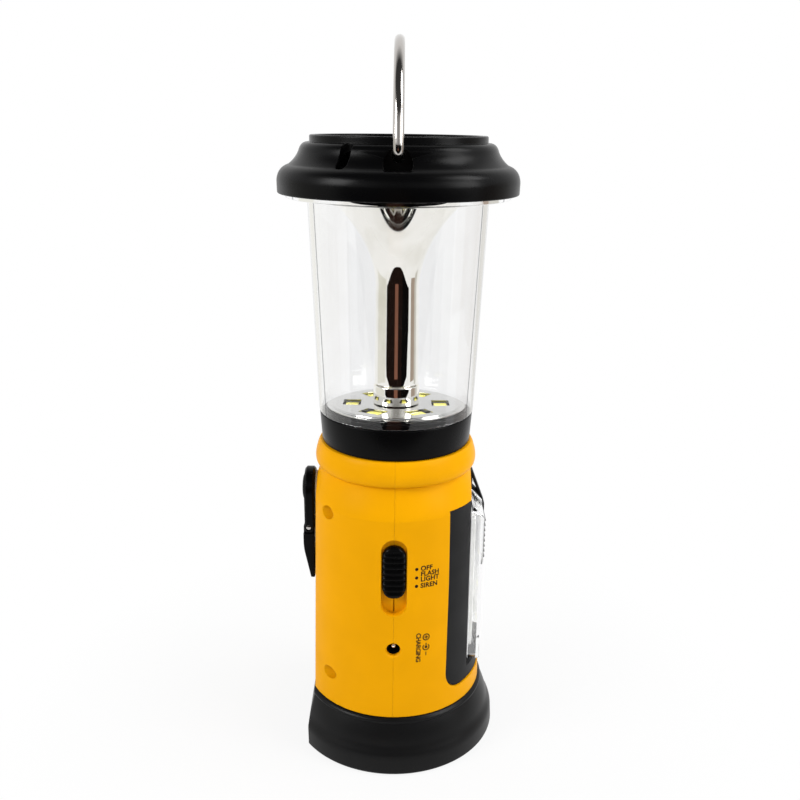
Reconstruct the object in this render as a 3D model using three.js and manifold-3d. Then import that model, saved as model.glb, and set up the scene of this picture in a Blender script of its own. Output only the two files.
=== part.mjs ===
import * as THREE from 'three';
import { mergeVertices } from 'three/addons/utils/BufferGeometryUtils.js';
import Module from 'manifold-3d';

// Hand crank camping lantern with a torch in its foot, a side lamp and a folding crank.
// Millimetres, +Z up. The origin is the centre of the foot, on the surface it stands on.
// The slider and the charging jack face -Y, the crank is on -X and the side lamp on +X.

const wasm = await Module();
wasm.setup();

// Driving sizes
const bodyHeight = 99.6;
const bodyFootRadius = 34.2;
const capRadius = 42.1;
const capRimRadius = 42.0;

// Clearances shared by all pieces
const fit = 0.3;
const cutRun = 3;
const mergeTolerance = 1e-4;
const roundSides = 28;
const rodSides = 8;
const curveSteps = 3;
const beltSides = 20;

// Foot with the torch in it
const baseHeight = 21.1;
const baseFootSpread = 5.1;
const baseFootRadius = bodyFootRadius + baseFootSpread;
const baseBandSpread = 6.1;
const baseBandRadius = bodyFootRadius + baseBandSpread;
const baseBandHeight = 5.8;
const baseChamfer = 0.9;
const baseWaistSpread = 3.0;
const baseWaistRadius = bodyFootRadius + baseWaistSpread;
const baseWaistHeight = 8.0;
const baseCoveHeight = 11.8;
const baseCoveSpread = 3.9;
const baseCoveRadius = bodyFootRadius + baseCoveSpread;
const baseBeadHeight = 2.0;
const baseFlatIn = 1.7;
const baseFlat = bodyFootRadius - baseFlatIn;
const baseWall = 2.2;
const baseLipHeight = 3.4;
const footRimIn = 2.2;
const footRimRadius = bodyFootRadius - footRimIn;
const torchMouthIn = 8.0;
const torchMouthRadius = bodyFootRadius - torchMouthIn;
const torchRimHeight = 2.0;
const torchLensIn = 6.7;
const torchLensRadius = bodyFootRadius - torchLensIn;
const torchLensThick = 1.8;
const torchBowlDepth = 14.5;
const torchNeckRadius = 5.4;
const torchWall = 1.2;
const torchBoardRadius = 12.0;
const torchLedRadius = 3.6;
const torchLedHeight = 4.2;

// Yellow body in two halves
const creaseIn = 2.2;
const creaseRadius = bodyFootRadius - creaseIn;
const creaseDrop = 21.0;
const creaseRise = bodyHeight - creaseDrop;
const neckIn = 5.3;
const neckRadius = bodyFootRadius - neckIn;
const neckDrop = 14.0;
const neckRise = bodyHeight - neckDrop;
const beadDrop = 10.5;
const beadRise = bodyHeight - beadDrop;
const beadIn = 4.0;
const beadRadius = bodyFootRadius - beadIn;
const bodyTopIn = 6.0;
const bodyTopRadius = bodyFootRadius - bodyTopIn;
const bodyWall = 2.0;
const leftFlatIn = 3.1;
const leftFlatFoot = bodyFootRadius - leftFlatIn;
const leftFlatNeckIn = 4.4;
const leftFlatNeck = bodyFootRadius - leftFlatNeckIn;

// Screws that hold the halves together
const screwHighDrop = 22.5;
const screwHigh = bodyHeight - screwHighDrop;
const screwHighIn = 13.7;
const screwHighOut = bodyFootRadius - screwHighIn;
const screwLow = 12.2;
const screwLowIn = 10.7;
const screwLowOut = bodyFootRadius - screwLowIn;
const screwBoreRadius = 2.5;
const screwHeadRadius = 2.2;
const screwHeadHeight = 2.0;
const screwShankRadius = 1.2;
const screwShankLength = 13.0;
const bossRadius = 3.9;
const bossRibThick = 2.4;
const screwSeat = 9.5;

// Front slider, its switch and the charging jack
const recessWidth = 9.3;
const knobHeight = 20.7;
const sliderTravel = 6.2;
const recessPlay = 3.0;
const recessMiddleShare = 0.57078;
const recessLength = knobHeight + sliderTravel + recessPlay;
const recessTop = bodyHeight * recessMiddleShare + recessLength / 2;
const recessBottom = recessTop - recessLength;
const recessDepth = 2.2;
const recessWall = 1.6;
const knobWidth = 8.6;
const knobTopGap = 2.7;
const knobBottom = recessTop - knobTopGap - knobHeight;
const knobProud = 0.3;
const knobRibs = 9;
const knobRibDepth = 0.5;
const stemWidth = 2.6;
const stemHeight = 3.0;
const switchWidth = 9.0;
const switchDepth = 5.6;
const switchHeight = 20.0;
const grooveDepth = 1.6;
const frontBoardWidth = 18.0;
const boardFootShare = 0.22189;
const frontBoardBottom = bodyHeight * boardFootShare;
const boardTopShare = 0.7239;
const frontBoardTop = bodyHeight * boardTopShare;
const frontBoardIn = 13.9;
const frontBoardOut = bodyFootRadius - frontBoardIn;
const boardThick = 1.6;
const jackShare = 0.28213;
const jackRise = bodyHeight * jackShare;
const jackHoleRadius = 2.6;
const jackWidth = 9.0;
const jackHeight = 11.0;
const jackPinRadius = 0.9;
const jackBoreDepth = 8.0;
const postRadius = 1.5;

// Main board and siren at the back
const mainBoardWidth = 38.0;
const mainBoardFootShare = 0.24699;
const mainBoardBottom = bodyHeight * mainBoardFootShare;
const mainBoardTop = frontBoardTop;
const mainBoardIn = 15.2;
const mainBoardOut = bodyFootRadius - mainBoardIn;
const mainPostOut = 12.0;
const sirenRadius = 9.0;
const sirenDepth = 5.0;
const sirenShare = 0.48795;
const sirenRise = bodyHeight * sirenShare;
const sirenHoleRadius = 2.2;
const soundSlots = 5;
const soundSlotWidth = 13.0;
const soundSlotHeight = 1.5;
const soundSlotPitch = 3.6;

// Battery cells and their tray
const cellRadius = 7.0;
const cellLength = 28.0;
const cellPitch = 14.8;
const cellCount = 3;
const cellCapRadius = 2.6;
const cellCapHeight = 1.0;
const trayThick = 1.5;
const trayWallHeight = 7.0;

// Side lamp on the right
const lampFlatIn = 5.9;
const lampFlat = bodyFootRadius - lampFlatIn;
const lampSink = 0.4;
const lampHalfAngle = 54;
const lampBottom = 9.6;
const lampDrop = 20.0;
const lampTop = bodyHeight - lampDrop;
const lampCorner = 4.0;
const ledgeFlatIn = 6.2;
const ledgeFlat = bodyFootRadius - ledgeFlatIn;
const ledgeDrop = 12.5;
const ledgeTop = bodyHeight - ledgeDrop;
const eyeTabHalf = 7.0;
const eyeTabProud = 1.6;
const eyeTabTop = lampTop + eyeTabProud;
const eyeHalf = 6.0;
const eyeRise = 7.2;
const eyeTop = lampTop + eyeRise;
const eyeBar = 1.2;
const eyeHoleDrop = 3.0;
const eyeIn = 0.2;
const eyeOut = bodyFootRadius - eyeIn;
const eyeNoseDrop = 4.8;
const eyeNose = lampTop - eyeNoseDrop;
const lensHalf = 15.8;
const lensBottom = 14.3;
const lensDrop = 0.6;
const lensTop = lampTop - lensDrop;
const lensLean = 5.6;
const lensFrontTop = lensTop - lensLean;
const lensFrontIn = 0.8;
const lensFront = bodyFootRadius - lensFrontIn;
const lensWall = 1.5;
const lensCorner = 4.0;
const windowHalf = 13.2;
const windowBottom = 17.0;
const windowDrop = 5.6;
const windowTop = lampTop - windowDrop;
const windowCorner = 3.0;
const sideReflectorIn = 3.8;
const sideReflectorFront = bodyFootRadius - sideReflectorIn;
const sideReflectorDepth = 5.8;
const cupCount = 4;
const cupMargin = 1.0;
const cupPitch = (windowTop - windowBottom - cupMargin) / cupCount;
const cupWidthShare = 0.443;
const cupFrontRadius = cupPitch * cupWidthShare;
const cupBackRadius = 3.0;
const sideLedSize = 3.4;
const sideLedHeight = 1.4;
const gripHalf = 3.0;
const gripDrop = 3.8;
const gripRun = 17.2;
const gripTop = lensFrontTop - gripDrop;
const gripBottom = gripTop - gripRun;
const gripThick = 0.8;
const gripRibs = 8;
const gripRibHeight = 0.5;

// Crank on the left
const crankDrop = 20.7;
const crankRise = bodyHeight - crankDrop;
const crankInnerIn = 3.0;
const crankInner = bodyFootRadius - crankInnerIn;
const crankProud = 0.3;
const crankOuter = bodyFootRadius + crankProud;
const hubRadius = 8.3;
const armHalf = 7.0;
const armChamfer = 0.7;
const armFootRadius = 1.0;
const cheekThick = 2.0;
const cheekRadius = 2.2;
const foldDrop = 14.6;
const foldIn = 1.2;
const foldOut = bodyFootRadius - foldIn;
const slotOverFold = 2.9;
const gripPinRadius = 1.0;
const gripLength = 21.0;
const gripStraight = 8.3;
const gripProud = 0.9;
const gripOuter = bodyFootRadius + gripProud;
const gripInnerIn = 2.8;
const gripInner = bodyFootRadius - gripInnerIn;
const gripTipIn = 1.8;
const gripTipOut = bodyFootRadius - gripTipIn;
const gripShoulder = 2.5;
const gripEyeTop = 1.3;
const crankCapRadius = 5.5;
const crankCapProud = 1.4;
const crankCapOut = bodyFootRadius + crankCapProud;
const crankCapStep = 0.6;
const shaftRadius = 2.4;
const shaftTailRadius = 1.5;
const bushRadius = 4.2;
const bushFlangeRadius = 7.0;
const bushFlangeThick = 0.6;
const bushLength = 3.2;

// Gear train behind the crank, on axes along X
const gearModule = 0.75;
const wheelTeeth = 32;
const pinionTeeth = 8;
const pressureAngle = THREE.MathUtils.degToRad(25);
const toothAddendumShare = 0.8;
const toothDedendumShare = 1.1;
const toothBacklash = 0.18;
const wheelThick = 3.0;
const firstPlaneIn = 16.4;
const firstPlane = bodyFootRadius - firstPlaneIn;
const secondPlaneIn = 20.9;
const secondPlane = bodyFootRadius - secondPlaneIn;
const pinionOverhang = 0.9;
const idlerPinRadius = 1.2;
const plateOuterIn = 10.4;
const plateOuter = bodyFootRadius - plateOuterIn;
const plateInnerIn = 24.4;
const plateInner = bodyFootRadius - plateInnerIn;
const plateThick = 1.5;
const platePostRadius = 1.8;
const plateRim = 2.6;
const highPostOut = 15.2;
const highPostDrop = 9.3;
const lowPostOut = 11.0;
const lowPostDrop = 39.3;
const plateNeckRadius = 7.0;
const rotorShaftRadius = 1.0;
const magnetRadius = 8.4;
const magnetLength = 10.5;
const statorRadius = 12.6;
const statorWall = 3.8;
const statorLength = 14.0;
const rotorPlay = 1.2;

// Lantern head
const collarHeight = 11.2;
const collarFootIn = 0.6;
const collarFootRadius = bodyTopRadius - collarFootIn;
const collarTopSpread = 0.2;
const collarTopRadius = bodyTopRadius + collarTopSpread;
const collarWall = 1.7;
const collarFloor = 2.0;
const collarSpigot = 8.3;
const upstandHeight = 1.9;
const upstandThick = 0.8;
const discLedge = 2.3;
const discIn = 2.8;
const discRadius = collarTopRadius - discIn;
const discThick = 1.2;
const boardLedge = 2.0;
const boardDrop = 2.3;
const wireHoleRadius = 4.0;
const lanternLeds = 6;
const lanternLedCircle = 16.1;
const lanternLedSize = 5.0;
const lanternLedHeight = 1.6;
const windowRadial = 6.4;
const windowTangential = 8.6;
const footRingRadius = 8.4;
const footRingHeight = 6.8;
const columnRadius = 7.9;
const columnKink = 35.6;
const columnKinkRadius = 7.7;
const trumpetWall = 1.2;
const trumpetRise = 71.8;
const trumpetRadius = 23.4;
const flareLowShare = 0.37;
const flareSpreadShare = 0.4;
const flareHighShare = 0.32;
const shadeFootSpread = 0.2;
const shadeFootRadius = collarTopRadius + shadeFootSpread;
const shadeSpread = 3.2;
const shadeTopRadius = shadeFootRadius + shadeSpread;
const shadeWall = 1.6;
const shadeRise = 76.7;
const shadeFlangeSpread = 7.5;
const shadeFlangeRadius = shadeTopRadius + shadeFlangeSpread;
const shadeFlangeThick = 2.0;

// Cap and bail
const capFlangeDrop = 0.5;
const capHeight = 17.0;
const capBeltRise = 4.2;
const capWaistRise = 9.6;
const capWaistRadius = 38.0;
const capNeckRise = 14.2;
const capNeckRadius = 34.4;
const capShoulder = 1.6;
const capRingRadius = 30.7;
const capRingHeight = 2.3;
const capRingThick = 2.3;
const capWall = 2.0;
const capDish = 0.4;
const skirtRadius = 24.2;
const skirtWall = 1.5;
const pocketRadius = 4.9;
const pocketFloor = 33.3;
const pocketWall = 1.9;
const pocketDrop = 2.1;
const ventAngle = THREE.MathUtils.degToRad(29);
const ventWidth = 4.5;
const ventBottomRise = 9.8;
const ventTopRise = 15.6;
const bailPivotRise = 13.7;
const bailRadius = 36.0;
const bailWire = 1.75;
const bailEnd = 31.0;
const bailBend = 2.4;
const bailPinSteps = 1;
const bailBendSteps = 3;
const bailArcSteps = 28;

// Places worked out from the sizes
const bodyFoot = baseHeight + fit;
const collarFoot = bodyFoot + bodyHeight + fit;
const taperSlope = (bodyFootRadius - creaseRadius) / creaseRise;
const flatSlope = (leftFlatFoot - leftFlatNeck) / beadRise;
const frontBoardFace = -frontBoardOut;
const wheelRadius = (gearModule * wheelTeeth) / 2;
const pinionRadius = (gearModule * pinionTeeth) / 2;
const gearSpacing = wheelRadius + pinionRadius;
const innerFlat = leftFlatFoot - bodyWall - fit;

const finishes = {
  yellow: { color: 0xf2b200, roughness: 0.38, metalness: 0 },
  black: { color: 0x17181a, roughness: 0.5, metalness: 0 },
  chrome: { color: 0xd8dade, roughness: 0.08, metalness: 1 },
  silver: { color: 0xc4c6c9, roughness: 0.25, metalness: 0.9 },
  clear: { color: 0xe8eef0, roughness: 0.08, metalness: 0 },
  white: { color: 0xf0f0ec, roughness: 0.4, metalness: 0 },
  board: { color: 0x1f6b3c, roughness: 0.55, metalness: 0 },
  steel: { color: 0x9a9da2, roughness: 0.35, metalness: 1 },
  brass: { color: 0xb8914a, roughness: 0.35, metalness: 1 },
  nylon: { color: 0xe6e2d6, roughness: 0.5, metalness: 0 },
  led: { color: 0xe8c860, roughness: 0.3, metalness: 0 },
  cell: { color: 0x2f7f52, roughness: 0.4, metalness: 0 },
};

// A closed geometry becomes a solid: shared corners merged, slivers dropped, faces turned out.
function solidOf(geometry) {
  const bare = geometry.clone();
  bare.deleteAttribute('normal');
  bare.deleteAttribute('uv');
  const merged = mergeVertices(bare, mergeTolerance);
  const corners = merged.attributes.position;
  const kept = [];
  let volume = 0;
  const [a, b, c] = [new THREE.Vector3(), new THREE.Vector3(), new THREE.Vector3()];
  for (let i = 0; i < merged.index.count; i += 3) {
    const [i0, i1, i2] = [merged.index.getX(i), merged.index.getX(i + 1), merged.index.getX(i + 2)];
    if (i0 === i1 || i1 === i2 || i2 === i0) continue;
    a.fromBufferAttribute(corners, i0);
    b.fromBufferAttribute(corners, i1);
    c.fromBufferAttribute(corners, i2);
    volume += a.dot(b.cross(c));
    kept.push([i0, i1, i2]);
  }
  const ordered = volume < 0 ? kept.map(([i0, i1, i2]) => [i0, i2, i1]) : kept;
  return new wasm.Manifold(new wasm.Mesh({
    numProp: 3,
    vertProperties: Float32Array.from(corners.array),
    triVerts: Uint32Array.from(ordered.flat()),
  }));
}

function geometryOf(solid) {
  const mesh = solid.getMesh();
  const geometry = new THREE.BufferGeometry();
  geometry.setAttribute('position', new THREE.BufferAttribute(Float32Array.from(mesh.vertProperties), 3));
  geometry.setIndex(new THREE.BufferAttribute(Uint32Array.from(mesh.triVerts), 1));
  geometry.computeVertexNormals();
  return geometry;
}

function join(...solids) {
  return solids.reduce((whole, solid) => whole.add(solid));
}

function cut(solid, ...tools) {
  return tools.reduce((left, tool) => left.subtract(tool), solid);
}

// Turns a geometry made about Z, or extruded along Z, onto the named axis.
// Along x a shape is drawn in (y, z); along y it is drawn in (x, z) and runs from back to front.
function onto(axis, geometry) {
  const frames = {
    x: [new THREE.Vector3(0, 1, 0), new THREE.Vector3(0, 0, 1), new THREE.Vector3(1, 0, 0)],
    y: [new THREE.Vector3(1, 0, 0), new THREE.Vector3(0, 0, 1), new THREE.Vector3(0, -1, 0)],
    z: [new THREE.Vector3(1, 0, 0), new THREE.Vector3(0, 1, 0), new THREE.Vector3(0, 0, 1)],
  };
  return geometry.applyMatrix4(new THREE.Matrix4().makeBasis(...frames[axis]));
}

// A shape extruded from one place on the axis to another.
function prism(axis, shape, from, to, bevel = 0) {
  const depth = to - from - 2 * bevel;
  const geometry = new THREE.ExtrudeGeometry(shape, {
    depth, steps: 1, curveSegments: curveSteps,
    bevelEnabled: bevel > 0, bevelThickness: bevel, bevelSize: bevel, bevelOffset: -bevel, bevelSegments: 1,
  });
  geometry.translate(0, 0, axis === 'y' ? bevel - to : from + bevel);
  return solidOf(onto(axis, geometry));
}

// A closed profile in (radius, place on the axis) turned about the axis.
function turned(axis, profile, sides = roundSides) {
  const points = profile.getPoints(curveSteps);
  const geometry = new THREE.LatheGeometry(points, sides);
  geometry.rotateX(Math.PI / 2);
  if (axis === 'x') geometry.rotateY(Math.PI / 2);
  if (axis === 'y') geometry.rotateX(-Math.PI / 2);
  return solidOf(geometry);
}

function profileOf(...points) {
  const path = new THREE.Path();
  path.moveTo(...points[0]);
  points.slice(1).forEach((point) => path.lineTo(...point));
  path.lineTo(...points[0]);
  return path;
}

// A rod or disc from one place on the axis to another, its centre line through at.
function rod(axis, radius, from, to, at = [0, 0, 0], sides = rodSides) {
  const solid = new THREE.CylinderGeometry(radius, radius, to - from, sides);
  solid.translate(0, (from + to) / 2, 0);
  if (axis === 'x') solid.rotateZ(-Math.PI / 2);
  if (axis === 'z') solid.rotateX(Math.PI / 2);
  return solidOf(solid.translate(...at));
}

function block([x0, x1], [y0, y1], [z0, z1]) {
  const geometry = new THREE.BoxGeometry(x1 - x0, y1 - y0, z1 - z0);
  return solidOf(geometry.translate((x0 + x1) / 2, (y0 + y1) / 2, (z0 + z1) / 2));
}

function polygon(...points) {
  return new THREE.Shape(points.map((point) => new THREE.Vector2(...point)));
}

function roundedBox(left, right, low, high, radius) {
  const shape = new THREE.Shape();
  shape.absarc(right - radius, low + radius, radius, -Math.PI / 2, 0);
  shape.absarc(right - radius, high - radius, radius, 0, Math.PI / 2);
  shape.absarc(left + radius, high - radius, radius, Math.PI / 2, Math.PI);
  shape.absarc(left + radius, low + radius, radius, Math.PI, 1.5 * Math.PI);
  return shape;
}

// The outline that a belt round the given circles [y, z, radius] takes.
function beltOutline(circles, sides = beltSides) {
  const points = circles.flatMap(([y, z, radius]) => Array.from({ length: sides }, (_, i) => {
    const turn = (2 * Math.PI * i) / sides;
    return [y + radius * Math.cos(turn), z + radius * Math.sin(turn)];
  }));
  points.sort((p, q) => p[0] - q[0] || p[1] - q[1]);
  const side = (list) => list.reduce((chain, point) => {
    const turnsRight = ([a, b]) => (b[0] - a[0]) * (point[1] - a[1]) - (b[1] - a[1]) * (point[0] - a[0]) <= 0;
    while (chain.length > 1 && turnsRight(chain.slice(-2))) chain.pop();
    return [...chain, point];
  }, []);
  const lower = side(points);
  const upper = side([...points].reverse());
  return polygon(...lower.slice(0, -1), ...upper.slice(0, -1));
}

// The outline of a spur gear in (y, z): involute flanks, straight below the base circle.
// One tooth points straight down, or one gap straight up, so that wheel and pinion mesh.
function gearOutline(teeth, toothDown) {
  const start = toothDown ? -Math.PI / 2 : Math.PI / 2 + Math.PI / teeth;
  const pitch = (gearModule * teeth) / 2;
  const base = pitch * Math.cos(pressureAngle);
  const tip = pitch + toothAddendumShare * gearModule;
  const root = pitch - toothDedendumShare * gearModule;
  const involute = (angle) => Math.tan(angle) - angle;
  const halfTooth = Math.PI / (2 * teeth) - toothBacklash / (2 * pitch);
  const halfAngle = (radius) => {
    const angle = Math.acos(Math.min(1, base / radius));
    return halfTooth + involute(pressureAngle) - involute(angle);
  };
  const flank = base > root ? [root, (base + pitch) / 2, pitch, tip] : [root, pitch, tip];
  const points = [];
  for (let tooth = 0; tooth < teeth; tooth += 1) {
    const middle = start + (2 * Math.PI * tooth) / teeth;
    const rising = flank.map((radius) => [radius, middle - halfAngle(radius)]);
    const falling = [...flank].reverse().map((radius) => [radius, middle + halfAngle(radius)]);
    [...rising, ...falling].forEach(([radius, turn]) => {
      points.push([radius * Math.cos(turn), radius * Math.sin(turn)]);
    });
  }
  return polygon(...points);
}

function piece(name, solid, finish, parent) {
  const mesh = new THREE.Mesh(geometryOf(solid), new THREE.MeshStandardMaterial(finishes[finish]));
  mesh.name = name;
  parent.add(mesh);
  return mesh;
}

function groupAt(parent, x, y, z) {
  const group = new THREE.Group();
  group.position.set(x, y, z);
  parent.add(group);
  return group;
}

const lantern = new THREE.Group();

// Body surface, in heights above the foot of the yellow shells

function bodyRadiusAt(rise) {
  return bodyFootRadius - taperSlope * rise;
}

function leftFlatAt(rise) {
  return -(leftFlatFoot - flatSlope * rise);
}

// The body turned to its outer surface, or to a surface the given depth inside it.
function bodySolid(depth, bottom, top) {
  const beadHandle = 2 * beadRadius - (neckRadius + bodyTopRadius) / 2;
  const path = new THREE.Path();
  path.moveTo(0, bottom);
  path.lineTo(bodyFootRadius - taperSlope * bottom - depth, bottom);
  path.lineTo(creaseRadius - depth, creaseRise);
  path.quadraticCurveTo(creaseRadius - depth, creaseRise + bodyWall, neckRadius - depth, neckRise);
  path.lineTo(neckRadius - depth, beadRise);
  if (depth === 0) path.quadraticCurveTo(beadHandle, (beadRise + top) / 2, bodyTopRadius, top);
  if (depth > 0) path.lineTo(neckRadius - depth, top);
  path.lineTo(0, top);
  const round = turned('z', path);
  const far = 2 * bodyFootRadius;
  const keep = polygon(
    [leftFlatAt(bottom) + depth, bottom - cutRun],
    [far, bottom - cutRun],
    [far, top + cutRun],
    [-far, top + cutRun],
    [-far, beadRise - fit],
    [leftFlatAt(beadRise) + depth, beadRise - fit],
  );
  return round.intersect(prism('y', keep, -far, far));
}

// A wedge about +X, out to the body's skin, for the side lamp's panel and its opening in the shell.
function lampWedge(clearance) {
  const reach = 2 * bodyFootRadius;
  const half = THREE.MathUtils.degToRad(lampHalfAngle);
  const shape = polygon([0, 0], [reach * Math.cos(half), -reach * Math.sin(half)],
    [reach, -reach], [reach, reach], [reach * Math.cos(half), reach * Math.sin(half)]);
  const wedge = prism('z', shape, lampBottom - clearance, lampTop + clearance);
  const hand = clearance / Math.sin(half);
  const side = bodyFootRadius * Math.sin(half) + clearance;
  const corner = lampCorner + clearance;
  const face = new THREE.Shape();
  face.moveTo(side, lampTop + clearance);
  face.lineTo(-side, lampTop + clearance);
  face.lineTo(-side, lampBottom - clearance + corner);
  face.quadraticCurveTo(-side, lampBottom - clearance, -side + corner, lampBottom - clearance);
  face.lineTo(side - corner, lampBottom - clearance);
  face.quadraticCurveTo(side, lampBottom - clearance, side, lampBottom - clearance + corner);
  return wedge.translate([-hand, 0, 0]).intersect(prism('x', face, 0, reach));
}

function screwPlaces() {
  return [
    [-screwHighOut, screwHigh], [-screwLowOut, screwLow],
    [screwHighOut, screwHigh], [screwLowOut, screwLow],
  ];
}

// Both shells before the split: skin, switch recess, posts, lamp opening, sound slots.
function wholeShell() {
  const outer = bodySolid(0, 0, bodyHeight);
  const inner = bodySolid(bodyWall, -cutRun, bodyHeight + cutRun)
    .subtract(block([lampFlat - bodyWall, 2 * bodyFootRadius], [-bodyFootRadius, bodyFootRadius],
      [lampTop - bodyWall, beadRise + bodyWall]));
  const frontAt = (rise) => -bodyRadiusAt(rise);
  const recessFloor = frontAt(recessTop) + recessDepth;
  const tub = roundedBox(-recessWidth / 2 - recessWall, recessWidth / 2 + recessWall,
    recessBottom - recessWall, recessTop + recessWall, recessWidth / 2 + recessWall - fit);
  const tubSolid = prism('y', tub, -bodyFootRadius, recessFloor + recessWall).intersect(outer);
  const pocket = roundedBox(-recessWidth / 2, recessWidth / 2, recessBottom, recessTop, recessWidth / 2 - fit);
  const pocketSolid = prism('y', pocket, -2 * bodyFootRadius, recessFloor);
  const stemSlot = block([-stemWidth / 2 - fit, stemWidth / 2 + fit], [-2 * bodyFootRadius, -frontBoardOut],
    [stemCentre() - stemHeight / 2 - sliderTravel - fit, stemCentre() + stemHeight / 2 + fit]);
  const frontPosts = [frontBoardBottom + 2 * bossRadius, frontBoardTop - bossRadius].flatMap((rise) => (
    [-1, 1].map((hand) => rod('y', postRadius, frontAt(rise) + bodyWall / 2, frontBoardFace - fit,
      [hand * (frontBoardWidth / 2 - postRadius), 0, rise]))
  ));
  const backPosts = [mainBoardBottom + bossRadius, mainBoardTop - bossRadius].flatMap((rise) => (
    [-1, 1].map((hand) => {
      const skin = Math.sqrt(bodyRadiusAt(rise) ** 2 - mainPostOut ** 2) - bodyWall / 2;
      return rod('y', postRadius, mainBoardOut + boardThick + fit, skin, [hand * mainPostOut, 0, rise]);
    })
  ));
  const platePosts = gearPlatePosts().map(([y, z]) => (
    rod('x', platePostRadius, leftFlatAt(crankRise) + bodyWall / 2, -plateOuter - fit, [0, y, crankRise + z])
  ));
  const bosses = screwPlaces().flatMap(([y, z]) => {
    const skin = Math.sqrt(bodyRadiusAt(z) ** 2 - y ** 2) - bodyWall / 2;
    const wall = Math.sign(y) * (bodyRadiusAt(z) - bodyWall - bossRibThick / 2);
    const rib = block([0, screwSeat], [y, wall].sort((a, b) => a - b), [z - bossRibThick / 2, z + bossRibThick / 2]);
    return [rod('x', bossRadius, -skin, 0, [0, y, z]), rod('x', bossRadius, 0, screwSeat, [0, y, z]), rib];
  });
  const slots = Array.from({ length: soundSlots }, (_, i) => {
    const rise = sirenRise + (i - (soundSlots - 1) / 2) * soundSlotPitch;
    const slot = roundedBox(-soundSlotWidth / 2, soundSlotWidth / 2, rise - soundSlotHeight / 2,
      rise + soundSlotHeight / 2, soundSlotHeight / 2 - mergeTolerance);
    return prism('y', slot, mainBoardOut + boardThick + sirenDepth, 2 * bodyFootRadius);
  });
  const fittings = join(...frontPosts, ...backPosts, ...platePosts, ...bosses).intersect(outer);
  const tabHole = block([0, 2 * bodyFootRadius], [-eyeTabHalf - fit, eyeTabHalf + fit], [lampTop, eyeTabTop + fit]);
  const ledge = block([ledgeFlat, 2 * bodyFootRadius], [-bodyFootRadius, bodyFootRadius], [lampTop, ledgeTop]);
  return cut(
    join(outer.subtract(inner), tubSolid, fittings),
    pocketSolid, stemSlot, lampWedge(fit), tabHole, ledge, ...slots,
    rod('y', jackHoleRadius, -2 * bodyFootRadius, -frontBoardOut, [0, 0, jackRise]),
    rod('x', bushRadius + fit, -2 * bodyFootRadius, -plateOuter, [0, 0, crankRise], roundSides / 2),
    ...screwPlaces().flatMap(([y, z]) => [
      rod('x', screwBoreRadius, -2 * bodyFootRadius, -screwSeat, [0, y, z]),
      rod('x', screwShankRadius + fit, -screwSeat - cutRun, screwSeat + cutRun, [0, y, z]),
    ]),
  );
}

function addShells(parent) {
  const whole = wholeShell();
  const reach = 2 * bodyFootRadius;
  const span = [-reach, reach];
  const rise = [-cutRun, bodyHeight + cutRun];
  piece('left_shell', whole.intersect(block([-reach, -fit / 2], span, rise)), 'yellow', parent);
  piece('right_shell', whole.intersect(block([fit / 2, reach], span, rise)), 'yellow', parent);
  screwPlaces().forEach(([y, z], i) => {
    const head = rod('x', screwHeadRadius, -screwHeadHeight, 0);
    const shank = rod('x', screwShankRadius, -fit, screwShankLength);
    const screw = piece(`shell_screw_${i + 1}`, join(head, shank), 'steel', parent);
    screw.position.set(-screwSeat - fit, y, z);
  });
}

// Front slider with its switch, board and charging jack

function stemCentre() {
  return knobBottom + knobHeight / 2 + sliderTravel / 2;
}

function switchFace() {
  return -frontBoardOut - fit - switchDepth;
}

function addSlider(parent) {
  const floor = -bodyRadiusAt(recessTop) + recessDepth;
  const front = -bodyRadiusAt(knobBottom + knobHeight / 2) - knobProud;
  const face = roundedBox(-knobWidth / 2, knobWidth / 2, knobBottom, knobBottom + knobHeight, knobWidth / 2 - fit);
  const cap = prism('y', face, front, floor - fit, knobRibDepth);
  const pitch = (knobHeight - knobWidth / 2) / knobRibs;
  const grooves = Array.from({ length: knobRibs - 1 }, (_, i) => {
    const rise = knobBottom + knobHeight / 2 + (i - (knobRibs - 2) / 2) * pitch;
    return block([-knobWidth, knobWidth], [front - cutRun, front + knobRibDepth],
      [rise - pitch / 4, rise + pitch / 4]);
  });
  const stem = block([-stemWidth / 2, stemWidth / 2], [floor - 2 * fit, switchFace() + grooveDepth - fit],
    [stemCentre() - stemHeight / 2, stemCentre() + stemHeight / 2]);
  piece('slider_knob', join(cut(cap, ...grooves), stem), 'black', parent);
  const middle = stemCentre() - sliderTravel / 2;
  const body = block([-switchWidth / 2, switchWidth / 2], [switchFace(), frontBoardFace - fit],
    [middle - switchHeight / 2, middle + switchHeight / 2]);
  const groove = block([-stemWidth / 2 - fit, stemWidth / 2 + fit], [switchFace() - cutRun, switchFace() + grooveDepth],
    [middle - (sliderTravel + stemHeight) / 2 - fit, middle + (sliderTravel + stemHeight) / 2 + fit]);
  piece('slide_switch', cut(body, groove), 'steel', parent);
}

function addFrontBoard(parent) {
  piece('front_board', block([-frontBoardWidth / 2, frontBoardWidth / 2], [frontBoardFace, frontBoardFace + boardThick],
    [frontBoardBottom, frontBoardTop]), 'board', parent);
  const skin = Math.sqrt((bodyRadiusAt(jackRise + jackHeight / 2) - bodyWall) ** 2 - (jackWidth / 2) ** 2);
  const front = -(skin - fit);
  const box = block([-jackWidth / 2, jackWidth / 2], [front, frontBoardFace - fit],
    [jackRise - jackHeight / 2, jackRise + jackHeight / 2]);
  const bore = rod('y', jackHoleRadius, front - cutRun, front + jackBoreDepth, [0, 0, jackRise]);
  const pin = rod('y', jackPinRadius, front, front + jackBoreDepth + fit, [0, 0, jackRise]);
  piece('dc_jack', join(cut(box, bore), pin), 'black', parent);
}

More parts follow.
